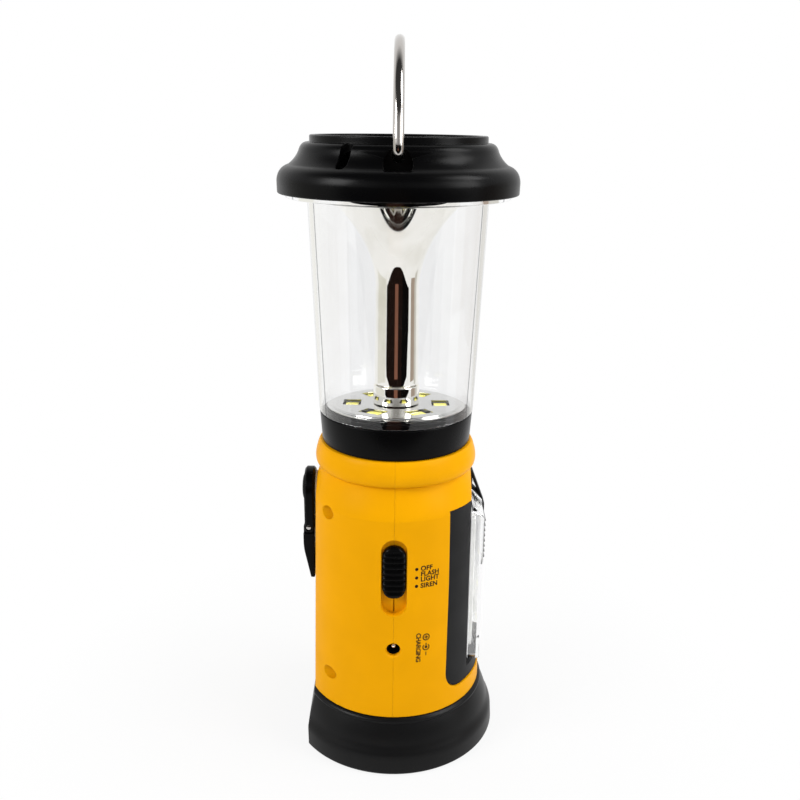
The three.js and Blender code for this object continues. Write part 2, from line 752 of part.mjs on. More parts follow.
function addMainBoard(parent) {
  piece('main_board', block([-mainBoardWidth / 2, mainBoardWidth / 2], [mainBoardOut, mainBoardOut + boardThick],
    [mainBoardBottom, mainBoardTop]), 'board', parent);
  const face = mainBoardOut + boardThick + fit;
  const can = rod('y', sirenRadius, face, face + sirenDepth - fit, [0, 0, sirenRise], roundSides / 2);
  const hole = rod('y', sirenHoleRadius, face + sirenDepth / 2, face + sirenDepth + cutRun, [0, 0, sirenRise]);
  piece('siren', cut(can, hole), 'black', parent);
}

function trayFoot() {
  return baseLipHeight;
}

function addBattery(parent) {
  const halfX = (cellPitch * (cellCount - 1)) / 2 + cellRadius + fit;
  const halfY = cellLength / 2 + cellCapHeight + fit;
  const foot = trayFoot();
  const inside = bodySolid(bodyWall + fit, 0, bodyHeight);
  const slab = block([-bodyFootRadius, bodyFootRadius], [-bodyFootRadius, bodyFootRadius], [foot, foot + trayThick]);
  const wall = block([-halfX - trayThick, halfX + trayThick], [-halfY - trayThick, halfY + trayThick],
    [foot + trayThick / 2, foot + trayThick + trayWallHeight]);
  const hollow = block([-halfX, halfX], [-halfY, halfY], [foot + trayThick, foot + trayThick + 2 * trayWallHeight]);
  piece('battery_tray', join(slab, cut(wall, hollow)).intersect(inside), 'black', parent);
  for (let i = 0; i < cellCount; i += 1) {
    const can = rod('y', cellRadius, -cellLength / 2, cellLength / 2, [0, 0, 0], roundSides / 2);
    const nub = rod('y', cellCapRadius, -cellLength / 2 - cellCapHeight, -cellLength / 2 + fit);
    const cell = piece(`battery_cell_${i + 1}`, join(can, nub), 'cell', parent);
    cell.position.set((i - (cellCount - 1) / 2) * cellPitch, 0, foot + trayThick + fit + cellRadius);
  }
}

// Side lamp: panel with its strap eye, clear lens, reflector cups and board

function lampWindow(clearance) {
  return roundedBox(-windowHalf + clearance, windowHalf - clearance, windowBottom + clearance,
    windowTop - clearance, windowCorner - clearance);
}

function strapEye() {
  const outer = polygon([lampFlat, lampTop + fit], [lampFlat + 2 * fit, lampTop + fit], [eyeOut - fit, eyeNose],
    [eyeOut, eyeNose + eyeBar], [lampFlat + eyeBar / 2, eyeTop], [lampFlat, eyeTop]);
  const hole = polygon([lampFlat + eyeBar, lampTop + eyeBar], [eyeOut - 2 * eyeBar, eyeNose + 2 * eyeBar],
    [lampFlat + eyeBar, eyeTop - eyeHoleDrop]);
  return prism('y', outer, -eyeHalf, eyeHalf).subtract(prism('y', hole, -eyeHalf - cutRun, eyeHalf + cutRun));
}

function addSidePanel(parent) {
  const skin = bodySolid(lampSink, 0, bodyHeight);
  const inner = bodySolid(lampSink + bodyWall, -cutRun, bodyHeight);
  const reach = 2 * bodyFootRadius;
  const front = block([lampFlat, reach], [-reach, reach], [lensBottom - fit, bodyHeight]);
  const back = block([-reach, lampFlat - bodyWall], [-reach, reach], [-cutRun, bodyHeight]);
  const panel = skin.intersect(lampWedge(0)).subtract(front).subtract(inner.intersect(back));
  const tab = block([lampFlat - bodyWall, lampFlat], [-eyeTabHalf, eyeTabHalf], [lampTop - bodyWall, eyeTabTop]);
  const window = prism('x', lampWindow(0), 0, reach);
  const root = block([lampFlat - bodyWall / 2, lampFlat + eyeBar / 2], [-eyeHalf, eyeHalf], [lampTop + fit, eyeTabTop]);
  piece('side_bezel', join(cut(panel, window), tab, root, strapEye()), 'black', parent);
}

// The lens is a box that leans back at its top end; inset gives its hollow.
function lensBlock(inset, from, to) {
  const shape = new THREE.Shape();
  const half = lensHalf - inset;
  const foot = lensBottom + inset;
  const corner = lensCorner - inset;
  shape.moveTo(half, lensTop);
  shape.lineTo(-half, lensTop);
  shape.lineTo(-half, foot + corner);
  shape.quadraticCurveTo(-half, foot, -half + corner, foot);
  shape.lineTo(half - corner, foot);
  shape.quadraticCurveTo(half, foot, half, foot + corner);
  const lean = polygon([from, foot - cutRun], [to, foot - cutRun], [to, lensFrontTop - inset],
    [lampFlat + fit, lensTop - inset], [from, lensTop - inset]);
  return prism('x', shape, from, to).intersect(prism('y', lean, -lensHalf - cutRun, lensHalf + cutRun));
}

function addSideLens(parent) {
  const outer = lensBlock(0, lampFlat + fit, lensFront);
  const hollow = lensBlock(lensWall, lampFlat - cutRun, lensFront - lensWall);
  const seat = block([lensFront - gripThick, lensFront + cutRun], [-gripHalf - fit, gripHalf + fit],
    [gripBottom - fit, gripTop + fit]);
  piece('side_lens', cut(outer, hollow, seat), 'clear', parent);
  const strip = block([lensFront - gripThick + fit, lensFront], [-gripHalf, gripHalf], [gripBottom, gripTop]);
  const pitch = (gripTop - gripBottom) / gripRibs;
  const ribs = Array.from({ length: gripRibs }, (_, i) => {
    const rise = gripBottom + (i + 0.5) * pitch;
    const rib = polygon([lensFront - fit, rise - pitch / 3], [lensFront + gripRibHeight, rise - pitch / 6],
      [lensFront + gripRibHeight, rise + pitch / 6], [lensFront - fit, rise + pitch / 3]);
    return prism('y', rib, -gripHalf, gripHalf);
  });
  piece('side_grip_strip', join(strip, ...ribs), 'black', parent);
}

function cupRises() {
  const middle = (windowBottom + windowTop) / 2;
  return Array.from({ length: cupCount }, (_, i) => middle + (i - (cupCount - 1) / 2) * cupPitch);
}

function addSideReflector(parent) {
  const back = sideReflectorFront - sideReflectorDepth;
  const tray = prism('x', lampWindow(fit), back, sideReflectorFront);
  const cups = cupRises().map((rise) => {
    const cone = turned('x', profileOf([0, back - cutRun], [cupBackRadius, back - cutRun], [cupBackRadius, back + fit],
      [cupFrontRadius, sideReflectorFront], [cupFrontRadius, sideReflectorFront + cutRun],
      [0, sideReflectorFront + cutRun]), roundSides / 2);
    return cone.translate([0, 0, rise]);
  });
  piece('side_reflector', cut(tray, ...cups), 'white', parent);
  const boardFace = back - fit;
  const board = prism('x', lampWindow(-fit), boardFace - boardThick, boardFace);
  piece('side_led_board', board, 'board', parent);
  cupRises().forEach((rise, i) => {
    const half = sideLedSize / 2;
    const led = piece(`side_led_${i + 1}`, block([0, sideLedHeight], [-half, half], [-half, half]), 'led', parent);
    led.position.set(boardFace + fit, 0, rise);
  });
}

// Crank: local frame on the crank axis, x as in the lantern, z up from the axis

function crankArm() {
  const feet = [-1, 1].map((hand) => (
    [hand * (armHalf - armFootRadius), armFootRadius - foldDrop - cheekRadius, armFootRadius]
  ));
  const plate = prism('x', beltOutline([[0, 0, hubRadius], ...feet], roundSides), -crankOuter, -crankInner, armChamfer);
  const slot = block([-2 * crankOuter, 0], [-armHalf + cheekThick, armHalf - cheekThick],
    [-2 * foldDrop, -foldDrop + slotOverFold]);
  const below = block([-2 * crankOuter, 0], [-2 * armHalf, 2 * armHalf], [-2 * foldDrop, -foldDrop]);
  const round = rod('y', cheekRadius, -2 * armHalf, 2 * armHalf, [-foldOut, 0, -foldDrop], roundSides / 2);
  const bore = rod('x', shaftRadius + fit, -crankOuter - cutRun, 0);
  const pinHole = rod('y', gripPinRadius + fit, -2 * armHalf, 2 * armHalf, [-foldOut, 0, -foldDrop]);
  return cut(plate, slot, below.subtract(round), bore, pinHole);
}

function crankGrip() {
  const tip = -gripLength;
  const side = new THREE.Shape();
  side.moveTo(foldOut - gripInner, gripEyeTop - gripEyeTop / 2);
  side.quadraticCurveTo(foldOut - gripInner, gripEyeTop, 0, gripEyeTop);
  side.quadraticCurveTo(foldOut - gripOuter, gripEyeTop, foldOut - gripOuter, -gripEyeTop / 2);
  side.lineTo(foldOut - gripOuter, -gripStraight);
  side.lineTo(foldOut - gripTipOut, tip);
  side.lineTo(foldOut - gripInner, tip);
  const whole = prism('y', side, -armHalf + fit, armHalf - fit);
  const eyeHalfWidth = armHalf - cheekThick - fit;
  const aside = [-1, 1].map((hand) => {
    const reach = [eyeHalfWidth * hand, 2 * armHalf * hand].sort((a, b) => a - b);
    return block([-armHalf, armHalf], reach, [-gripShoulder, 2 * gripEyeTop]);
  });
  const hole = rod('y', gripPinRadius + fit, -2 * armHalf, 2 * armHalf);
  return cut(whole, ...aside, hole);
}

function addCrank(parent) {
  const crank = groupAt(parent, 0, 0, crankRise);
  piece('crank_arm', crankArm(), 'black', crank);
  const dome = new THREE.Path();
  dome.moveTo(0, crankOuter + fit - crankCapOut);
  dome.lineTo(0, 0);
  dome.quadraticCurveTo(crankCapRadius - crankCapStep, 0, crankCapRadius, crankOuter + fit - crankCapOut);
  dome.lineTo(0, crankOuter + fit - crankCapOut);
  const cap = turned('x', dome, roundSides / 2);
  const capPiece = piece('crank_cap', cap, 'black', crank);
  capPiece.rotation.z = Math.PI;
  capPiece.position.x = -crankCapOut;
  const pin = rod('y', gripPinRadius, -armHalf + fit, armHalf - fit);
  piece('grip_pin', pin, 'steel', crank).position.set(-foldOut, 0, -foldDrop);
  piece('crank_grip', crankGrip(), 'black', crank).position.set(-foldOut, 0, -foldDrop);
  const head = rod('x', shaftRadius, -crankOuter, -firstPlane + fit);
  const tail = rod('x', shaftTailRadius, -firstPlane, -plateInner + plateThick);
  piece('crank_shaft', join(head, tail), 'steel', crank);
  const seat = leftFlatAt(crankRise) - fit;
  const flange = rod('x', bushFlangeRadius, seat - bushFlangeThick, seat, [0, 0, 0], roundSides / 2);
  const sleeve = rod('x', bushRadius, seat - bushFlangeThick / 2, seat + bushLength, [0, 0, 0], roundSides / 2);
  const bore = rod('x', shaftRadius + fit, -crankOuter, 0);
  piece('crank_bush', cut(join(flange, sleeve), bore), 'nylon', crank);
}

// Gear train: two steps of wheel and pinion from the crank to the generator

function gearPlatePosts() {
  return [
    [-highPostOut, -highPostDrop], [highPostOut, -highPostDrop],
    [-lowPostOut, -lowPostDrop], [lowPostOut, -lowPostDrop],
  ];
}

function gearPlate(from, to) {
  const circles = gearPlatePosts().map(([y, z]) => [y, z, plateRim]);
  const plate = prism('x', beltOutline([...circles, [0, 0, plateNeckRadius]]), from, to);
  return cut(
    plate,
    rod('x', shaftRadius + fit, from - cutRun, to + cutRun),
    rod('x', idlerPinRadius + fit, from - cutRun, to + cutRun, [0, 0, -gearSpacing]),
    rod('x', rotorShaftRadius + fit, from - cutRun, to + cutRun, [0, 0, -2 * gearSpacing]),
  );
}

function addGearTrain(parent) {
  const train = groupAt(parent, 0, 0, crankRise);
  const posts = gearPlatePosts().map(([y, z]) => (
    rod('x', platePostRadius, -plateOuter + fit, -plateInner - fit, [0, y, z])
  ));
  piece('gearbox_frame', join(gearPlate(-plateOuter, -plateOuter + plateThick), ...posts), 'black', train);
  piece('gearbox_cover', gearPlate(-plateInner, -plateInner + plateThick), 'black', train);
  const first = [-firstPlane - wheelThick, -firstPlane];
  const second = [-secondPlane - wheelThick, -secondPlane];
  const wheel = prism('x', gearOutline(wheelTeeth, true), ...first);
  piece('drive_gear', cut(wheel, rod('x', shaftRadius + fit, -plateOuter, 0)), 'nylon', train);
  const idler = join(
    prism('x', gearOutline(pinionTeeth, false), first[0] - fit, second[0] + fit),
    prism('x', gearOutline(wheelTeeth, true), ...second),
  );
  const idlerBore = rod('x', idlerPinRadius + fit, -plateOuter, 0);
  piece('idler_gear', cut(idler, idlerBore), 'nylon', train).position.z = -gearSpacing;
  const idlerPin = rod('x', idlerPinRadius, -plateOuter, -plateInner + plateThick);
  piece('idler_pin', idlerPin, 'steel', train).position.z = -gearSpacing;
  const magnetStart = -plateInner + plateThick + rotorPlay + fit;
  const magnetEnd = magnetStart + magnetLength;
  const statorStart = -plateInner + plateThick + fit;
  const rotor = join(
    rod('x', rotorShaftRadius, -plateOuter, magnetEnd + rotorPlay),
    prism('x', gearOutline(pinionTeeth, false), second[0] - pinionOverhang + fit, second[1] + pinionOverhang),
    rod('x', magnetRadius, magnetStart, magnetEnd, [0, 0, 0], roundSides / 2),
  );
  piece('generator_rotor', rotor, 'steel', train).position.z = -2 * gearSpacing;
  const stator = turned('x', profileOf(
    [statorRadius, statorStart], [statorRadius, statorStart + statorLength],
    [rotorShaftRadius + fit, statorStart + statorLength],
    [rotorShaftRadius + fit, magnetEnd + rotorPlay / 2 + fit],
    [statorRadius - statorWall, magnetEnd + rotorPlay / 2 + fit], [statorRadius - statorWall, statorStart],
  ), roundSides / 2);
  piece('generator_stator', stator, 'steel', train).position.z = -2 * gearSpacing;
}

// Foot: flared ring, torch lens, reflector and its light

function addBase(parent) {
  const shoulder = baseHeight - baseBeadHeight;
  const neck = bodyFootRadius;
  const path = new THREE.Path();
  path.moveTo(0, 0);
  path.lineTo(baseFootRadius, 0);
  path.lineTo(baseBandRadius, baseChamfer);
  path.lineTo(baseBandRadius - fit, baseBandHeight);
  path.quadraticCurveTo(baseWaistRadius, baseWaistHeight, baseCoveRadius, baseCoveHeight);
  path.lineTo(neck + baseChamfer, shoulder);
  path.quadraticCurveTo(neck + 2 * baseChamfer, shoulder + baseBeadHeight / 2, neck, baseHeight);
  path.lineTo(neck - bodyWall - fit, baseHeight);
  path.lineTo(neck - bodyWall - fit, baseHeight + baseLipHeight);
  path.lineTo(0, baseHeight + baseLipHeight);
  path.lineTo(0, 0);
  const reach = 2 * baseBandRadius;
  const span = [-reach, reach];
  const right = (x) => block([x, reach], span, [-cutRun, baseHeight + 2 * baseLipHeight]);
  const outer = turned('z', path).intersect(right(-baseFlat))
    .subtract(block([-reach, -innerFlat], span, [baseHeight, baseHeight + 2 * baseLipHeight]));
  const lipInner = neck - 2 * bodyWall;
  const hollow = turned('z', profileOf([0, baseWall], [baseFootRadius - baseWall, baseWall],
    [baseCoveRadius - 2 * baseWall, baseCoveHeight], [lipInner, shoulder],
    [lipInner, baseHeight + 2 * baseLipHeight], [0, baseHeight + 2 * baseLipHeight]))
    .intersect(right(-baseFlat + baseWall));
  const bore = torchLensRadius + fit;
  const tube = turned('z', profileOf([0, 0], [bore + baseWall / 2, 0], [bore + baseWall / 2, baseHeight],
    [0, baseHeight]));
  const mouth = turned('z', profileOf([0, -cutRun], [footRimRadius, -cutRun], [footRimRadius, 0],
    [torchMouthRadius, torchRimHeight], [bore, torchRimHeight], [bore, 2 * baseHeight], [0, 2 * baseHeight]));
  piece('base_ring', cut(join(cut(outer, hollow), tube), mouth), 'black', parent);
  const lensFoot = torchRimHeight + fit;
  piece('torch_lens', rod('z', torchLensRadius, lensFoot, lensFoot + torchLensThick, [0, 0, 0], roundSides),
    'clear', parent);
  const rim = lensFoot + torchLensThick + fit;
  const neckTop = rim + torchBowlDepth;
  const bowl = new THREE.Path();
  const bowlMouth = torchLensRadius - 2 * torchWall;
  bowl.moveTo(torchLensRadius, rim);
  bowl.lineTo(torchLensRadius, rim + torchWall);
  bowl.lineTo(bowlMouth + torchWall, rim + torchWall);
  bowl.quadraticCurveTo(bowlMouth - torchWall, neckTop - torchWall, torchNeckRadius + torchWall, neckTop);
  bowl.lineTo(torchNeckRadius, neckTop);
  bowl.quadraticCurveTo(bowlMouth - 3 * torchWall, neckTop - 2 * torchWall, bowlMouth, rim);
  bowl.lineTo(torchLensRadius, rim);
  piece('torch_reflector', turned('z', bowl), 'chrome', parent);
  const boardFoot = neckTop + fit;
  piece('torch_board', rod('z', torchBoardRadius, boardFoot, boardFoot + boardThick, [0, 0, 0], roundSides / 2),
    'board', parent);
  const led = new THREE.Path();
  led.moveTo(0, boardFoot - fit);
  led.lineTo(torchLedRadius, boardFoot - fit);
  led.lineTo(torchLedRadius, boardFoot - torchLedHeight / 2);
  led.quadraticCurveTo(torchLedRadius, boardFoot - torchLedHeight, 0, boardFoot - torchLedHeight);
  piece('torch_led', turned('z', led, roundSides / 2), 'led', parent);
}

// Lantern head: local frame at the foot of the collar

function discSeat() {
  return collarHeight + discLedge;
}

function addCollar(head) {
  const rim = collarTopRadius - collarWall;
  const inner = discRadius - boardLedge / 2;
  const boardSeat = discSeat() - boardDrop - discThick + fit;
  const spigotRadius = neckRadius - bodyWall - fit;
  piece('collar', turned('z', profileOf(
    [wireHoleRadius, 0], [spigotRadius - collarWall, 0], [spigotRadius - collarWall, -collarSpigot],
    [spigotRadius, -collarSpigot], [spigotRadius, 0], [collarFootRadius, 0], [collarTopRadius, collarHeight],
    [rim, collarHeight], [rim, collarHeight + upstandHeight], [rim - upstandThick, collarHeight + upstandHeight],
    [rim - upstandThick, discSeat()], [inner, discSeat()], [inner, boardSeat], [inner - boardLedge, boardSeat],
    [inner - boardLedge, collarFloor], [wireHoleRadius, collarFloor],
  )), 'black', head);
  return { boardSeat, inner };
}

function addLanternLights(head) {
  const { boardSeat, inner } = addCollar(head);
  const boardFoot = boardSeat + fit;
  const ring = cut(
    rod('z', inner - fit, boardFoot, boardFoot + boardThick, [0, 0, 0], roundSides),
    rod('z', wireHoleRadius, boardFoot - cutRun, boardFoot + cutRun),
  );
  piece('lantern_led_board', ring, 'board', head);
  const discFoot = discSeat() + fit;
  const turns = Array.from({ length: lanternLeds }, (_, i) => (2 * Math.PI * i) / lanternLeds);
  const half = lanternLedSize / 2;
  turns.forEach((turn, i) => {
    const led = piece(`lantern_led_${i + 1}`, block([-half, half], [-half, half], [0, lanternLedHeight]), 'led', head);
    led.position.set(lanternLedCircle * Math.cos(turn), lanternLedCircle * Math.sin(turn), boardFoot + boardThick + fit);
    led.rotation.z = turn;
  });
  const disc = rod('z', discRadius, discFoot, discFoot + discThick, [0, 0, 0], roundSides);
  const windows = turns.map((turn) => {
    const hole = new THREE.BoxGeometry(windowRadial, windowTangential, discThick + 2 * cutRun);
    return solidOf(hole.translate(lanternLedCircle, 0, discFoot).rotateZ(turn));
  });
  piece('reflector_disc', cut(disc, ...windows, rod('z', wireHoleRadius, 0, 2 * discFoot)), 'chrome', head);
  return discFoot + discThick;
}

function addTrumpet(head, discTop) {
  const foot = discTop + fit;
  const ringTop = foot + footRingHeight;
  const spigot = footRingRadius - trumpetWall - fit;
  piece('column_foot_ring', turned('z', profileOf([spigot + fit, foot], [footRingRadius, foot],
    [footRingRadius, ringTop], [spigot + fit, ringTop])), 'chrome', head);
  const start = ringTop + fit;
  const kink = start + columnKink;
  const rim = start + trumpetRise - footRingHeight;
  const slope = (rim - kink) / (trumpetRadius - columnKinkRadius);
  const flare = (path, inset, upward) => {
    const low = [columnKinkRadius - inset, kink];
    const lowHandle = [columnKinkRadius - inset + fit, kink + (rim - kink) * flareLowShare];
    const highHandle = [columnKinkRadius + (trumpetRadius - columnKinkRadius) * flareSpreadShare - inset,
      rim - (trumpetRadius - columnKinkRadius) * flareHighShare * slope];
    const high = [trumpetRadius - inset, rim];
    if (upward) path.bezierCurveTo(...lowHandle, ...highHandle, ...high);
    if (!upward) path.bezierCurveTo(...highHandle, ...lowHandle, ...low);
  };
  const path = new THREE.Path();
  path.moveTo(spigot, foot);
  path.lineTo(spigot, start);
  path.lineTo(columnRadius, start);
  path.lineTo(columnKinkRadius, kink);
  flare(path, 0, true);
  path.lineTo(trumpetRadius - trumpetWall, rim);
  flare(path, trumpetWall, false);
  path.lineTo(columnRadius - 2 * trumpetWall, start);
  path.lineTo(spigot - trumpetWall, foot);
  path.lineTo(spigot, foot);
  piece('trumpet_reflector', turned('z', path), 'chrome', head);
  return rim;
}

function addShade(head) {
  const foot = collarHeight + fit;
  const top = foot + shadeRise;
  const flange = top + shadeFlangeThick;
  piece('shade', turned('z', profileOf(
    [shadeFootRadius - shadeWall, foot], [shadeFootRadius, foot], [shadeTopRadius, top - fit],
    [shadeTopRadius + shadeWall, top], [shadeFlangeRadius, top], [shadeFlangeRadius, flange],
    [shadeTopRadius - shadeWall, flange],
  )), 'clear', head);
  return flange;
}

// Profile of the cap in (radius, height above its rim), wall included.
function capProfile(flangeRise, skirtDrop) {
  const path = new THREE.Path();
  const ledge = flangeRise + fit;
  const inner = (radius) => radius - capWall;
  path.moveTo(shadeFlangeRadius + fit, 0);
  path.lineTo(capRimRadius, 0);
  path.lineTo(capRadius, capBeltRise);
  path.quadraticCurveTo(capRadius - fit, capBeltRise * 2, capWaistRadius, capWaistRise);
  path.quadraticCurveTo(capNeckRadius + capWall / 2, capWaistRise + capWall, capNeckRadius, capNeckRise);
  path.quadraticCurveTo(capNeckRadius - capShoulder / 2, capHeight, capNeckRadius - 2 * capShoulder, capHeight);
  path.lineTo(capRingRadius, capHeight);
  path.lineTo(capRingRadius, capHeight + capRingHeight - fit);
  path.lineTo(capRingRadius - fit, capHeight + capRingHeight);
  path.lineTo(capRingRadius - capRingThick / 2, capHeight + capRingHeight);
  path.quadraticCurveTo(capRingRadius - capRingThick, capHeight + capRingHeight, capRingRadius - capRingThick,
    capHeight + capDish);
  path.lineTo(0, capHeight + capDish);
  path.lineTo(0, capHeight - capWall);
  path.lineTo(skirtRadius - skirtWall, capHeight - capWall);
  path.lineTo(skirtRadius - skirtWall, skirtDrop);
  path.lineTo(skirtRadius, skirtDrop);
  path.lineTo(skirtRadius, capHeight - capWall);
  path.lineTo(inner(capNeckRadius) - capShoulder, capHeight - capWall);
  path.lineTo(inner(capNeckRadius), capNeckRise - fit);
  path.lineTo(inner(capWaistRadius), capWaistRise - capWall / 2);
  path.lineTo(inner(capRadius), capBeltRise);
  path.lineTo(shadeFlangeRadius - capWall, capBeltRise - capWall / 2);
  path.lineTo(shadeFlangeRadius - capWall, ledge);
  path.lineTo(shadeFlangeRadius + fit, ledge);
  path.lineTo(shadeFlangeRadius + fit, 0);
  return path;
}

function addCap(head, flangeTop, trumpetTop) {
  const foot = flangeTop - capFlangeDrop;
  const shell = turned('z', capProfile(capFlangeDrop, trumpetTop + fit - foot));
  const whole = turned('z', new THREE.Path([
    [0, 0], [capRimRadius, 0], [capRadius, capBeltRise], [capWaistRadius, capWaistRise],
    [capNeckRadius, capNeckRise], [capNeckRadius - capShoulder, capHeight - capWall / 2],
    [0, capHeight - capWall / 2], [0, 0],
  ].map((point) => new THREE.Vector2(...point))));
  const hands = [-1, 1];
  const span = (hand, near, far) => [hand * near, hand * far].sort((a, b) => a - b);
  const pocketRise = bailPivotRise - pocketDrop;
  const bossesIn = hands.map((hand) => rod('y', pocketRadius + pocketWall / 2,
    ...span(hand, pocketFloor - pocketWall, capRadius), [0, 0, pocketRise], roundSides / 2).intersect(whole));
  const pockets = hands.map((hand) => rod('y', pocketRadius, ...span(hand, pocketFloor, 2 * capRadius),
    [0, 0, pocketRise], roundSides / 2));
  const holes = hands.map((hand) => rod('y', bailWire + fit, ...span(hand, bailEnd - cutRun, capRadius),
    [0, 0, bailPivotRise]));
  const vents = [ventAngle, ventAngle + Math.PI].map((turn) => {
    const slot = new THREE.BoxGeometry(ventWidth, capRadius, ventTopRise - ventBottomRise);
    slot.translate(0, -capRingRadius - capRadius / 2, (ventTopRise + ventBottomRise) / 2);
    return solidOf(slot.rotateZ(-turn));
  });
  const cap = piece('cap', cut(join(shell, ...bossesIn), ...pockets, ...holes, ...vents), 'black', head);
  cap.position.z = foot;
  return foot;
}

// The bail's centre line: a pin into the cap, a tight bend, the half circle, and the same again.
// It is walked in even steps, so that each stretch gets the steps it needs.
class BailLine extends THREE.Curve {
  getUtoTmapping(share) {
    return share;
  }

  getPoint(share) {
    const step = share * bailLineSteps();
    const hand = step < bailLineSteps() / 2 ? -1 : 1;
    const walked = Math.min(step, bailLineSteps() - step);
    const arcStart = Math.asin(bailBend / bailRadius);
    const out = bailRadius * Math.cos(arcStart);
    if (walked <= bailPinSteps) {
      const y = THREE.MathUtils.lerp(bailEnd, out - bailBend, walked / bailPinSteps);
      return new THREE.Vector3(0, hand * y, 0);
    }
    if (walked <= bailPinSteps + bailBendSteps) {
      const turn = ((walked - bailPinSteps) / bailBendSteps) * (Math.PI / 2);
      return new THREE.Vector3(0, hand * (out - bailBend + bailBend * Math.sin(turn)), bailBend - bailBend * Math.cos(turn));
    }
    const along = (walked - bailPinSteps - bailBendSteps) / (bailArcSteps / 2);
    const turn = THREE.MathUtils.lerp(arcStart, Math.PI / 2, along);
    return new THREE.Vector3(0, hand * bailRadius * Math.cos(turn), bailRadius * Math.sin(turn));
  }
}

function bailLineSteps() {
  return 2 * (bailPinSteps + bailBendSteps) + bailArcSteps;
}

function addBail(head, capFoot) {
  const bail = groupAt(head, 0, 0, capFoot + bailPivotRise);
  const section = new THREE.Shape();
  section.absarc(0, 0, bailWire, 0, 2 * Math.PI);
  const wire = new THREE.ExtrudeGeometry(section, {
    steps: bailLineSteps(), curveSegments: curveSteps + 1, bevelEnabled: false, extrudePath: new BailLine(),
  });
  piece('bail_handle', solidOf(wire), 'chrome', bail);
}

function addHead(parent) {
  const head = groupAt(parent, 0, 0, collarFoot);
  const discTop = addLanternLights(head);
  const trumpetTop = addTrumpet(head, discTop);
  const flangeTop = addShade(head);
  addBail(head, addCap(head, flangeTop, trumpetTop));
}

const body = groupAt(lantern, 0, 0, bodyFoot);
addBase(lantern);
addShells(body);
addSlider(body);
addFrontBoard(body);
addMainBoard(body);
addBattery(body);
addSidePanel(body);
addSideLens(body);
addSideReflector(body);
addCrank(body);
addGearTrain(body);
addHead(lantern);

export default lantern;
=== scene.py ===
"""Looks of a hand crank camping lantern, dressed over its CAD frame.

Every size in the classes is in millimetres, in the frame of the CAD: X runs right, Y back and Z up,
the slider faces -Y, the crank is on -X and the side lamp on +X.
"""
import logging
import math
from dataclasses import dataclass
from enum import Enum
from typing import Callable, Sequence

import bmesh
import bpy
import numpy as np
from mathutils import Matrix, Vector


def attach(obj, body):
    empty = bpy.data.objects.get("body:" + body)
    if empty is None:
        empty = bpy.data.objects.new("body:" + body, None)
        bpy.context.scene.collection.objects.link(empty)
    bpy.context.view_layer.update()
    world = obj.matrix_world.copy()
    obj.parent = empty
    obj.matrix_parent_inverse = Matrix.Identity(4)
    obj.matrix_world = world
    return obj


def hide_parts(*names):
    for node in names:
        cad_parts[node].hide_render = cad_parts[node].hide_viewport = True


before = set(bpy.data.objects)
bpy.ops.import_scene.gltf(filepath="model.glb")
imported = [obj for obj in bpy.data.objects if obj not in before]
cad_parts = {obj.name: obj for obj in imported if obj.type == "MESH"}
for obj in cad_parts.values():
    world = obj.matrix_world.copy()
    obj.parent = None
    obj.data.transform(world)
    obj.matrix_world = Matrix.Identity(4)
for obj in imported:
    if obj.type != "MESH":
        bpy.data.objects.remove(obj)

LOG = logging.getLogger("lantern")
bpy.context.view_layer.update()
MM = 0.001
WELD = 1e-7
NEAR_ZERO = 1e-9
NO_FLAT = 1e3
BEYOND = 60.0
FIT = 0.3
CRANK_AXIS = 100.3
BAIL_PIVOT = 224.7

Array = np.ndarray
Object = bpy.types.Object
Tree = bpy.types.NodeTree
Node = bpy.types.Node
Socket = bpy.types.NodeSocket
Colour = tuple[float, float, float]
Place = tuple[float, float, float]


class Axis(Enum):
    """The way a piece is turned or extruded: which of (across, up, along) lies on X, Y and Z."""

    X = (2, 0, 1)
    Y = (0, 2, 1)
    Z = (0, 1, 2)


class Cut(Enum):
    """What a tool does to the piece it is used on."""

    TAKE = "DIFFERENCE"
    ADD = "UNION"
    KEEP = "INTERSECT"


# Shapes as arrays


def bezier(*points: Sequence[float], steps: int = 16) -> Array:
    """Points on a Bezier curve: the controls weighed by Bernstein's polynomials of the share walked.

    Args:
        points: two to four control points.
        steps: how many stretches the curve is cut into.

    Returns:
        An array with one point a row.
    """
    controls = np.asarray(points, float)
    degree = len(controls) - 1
    share = np.linspace(0.0, 1.0, steps + 1)[:, None]
    weights = [math.comb(degree, i) * share**i * (1 - share) ** (degree - i) for i in range(degree + 1)]
    return sum(weight * control for weight, control in zip(weights, controls))


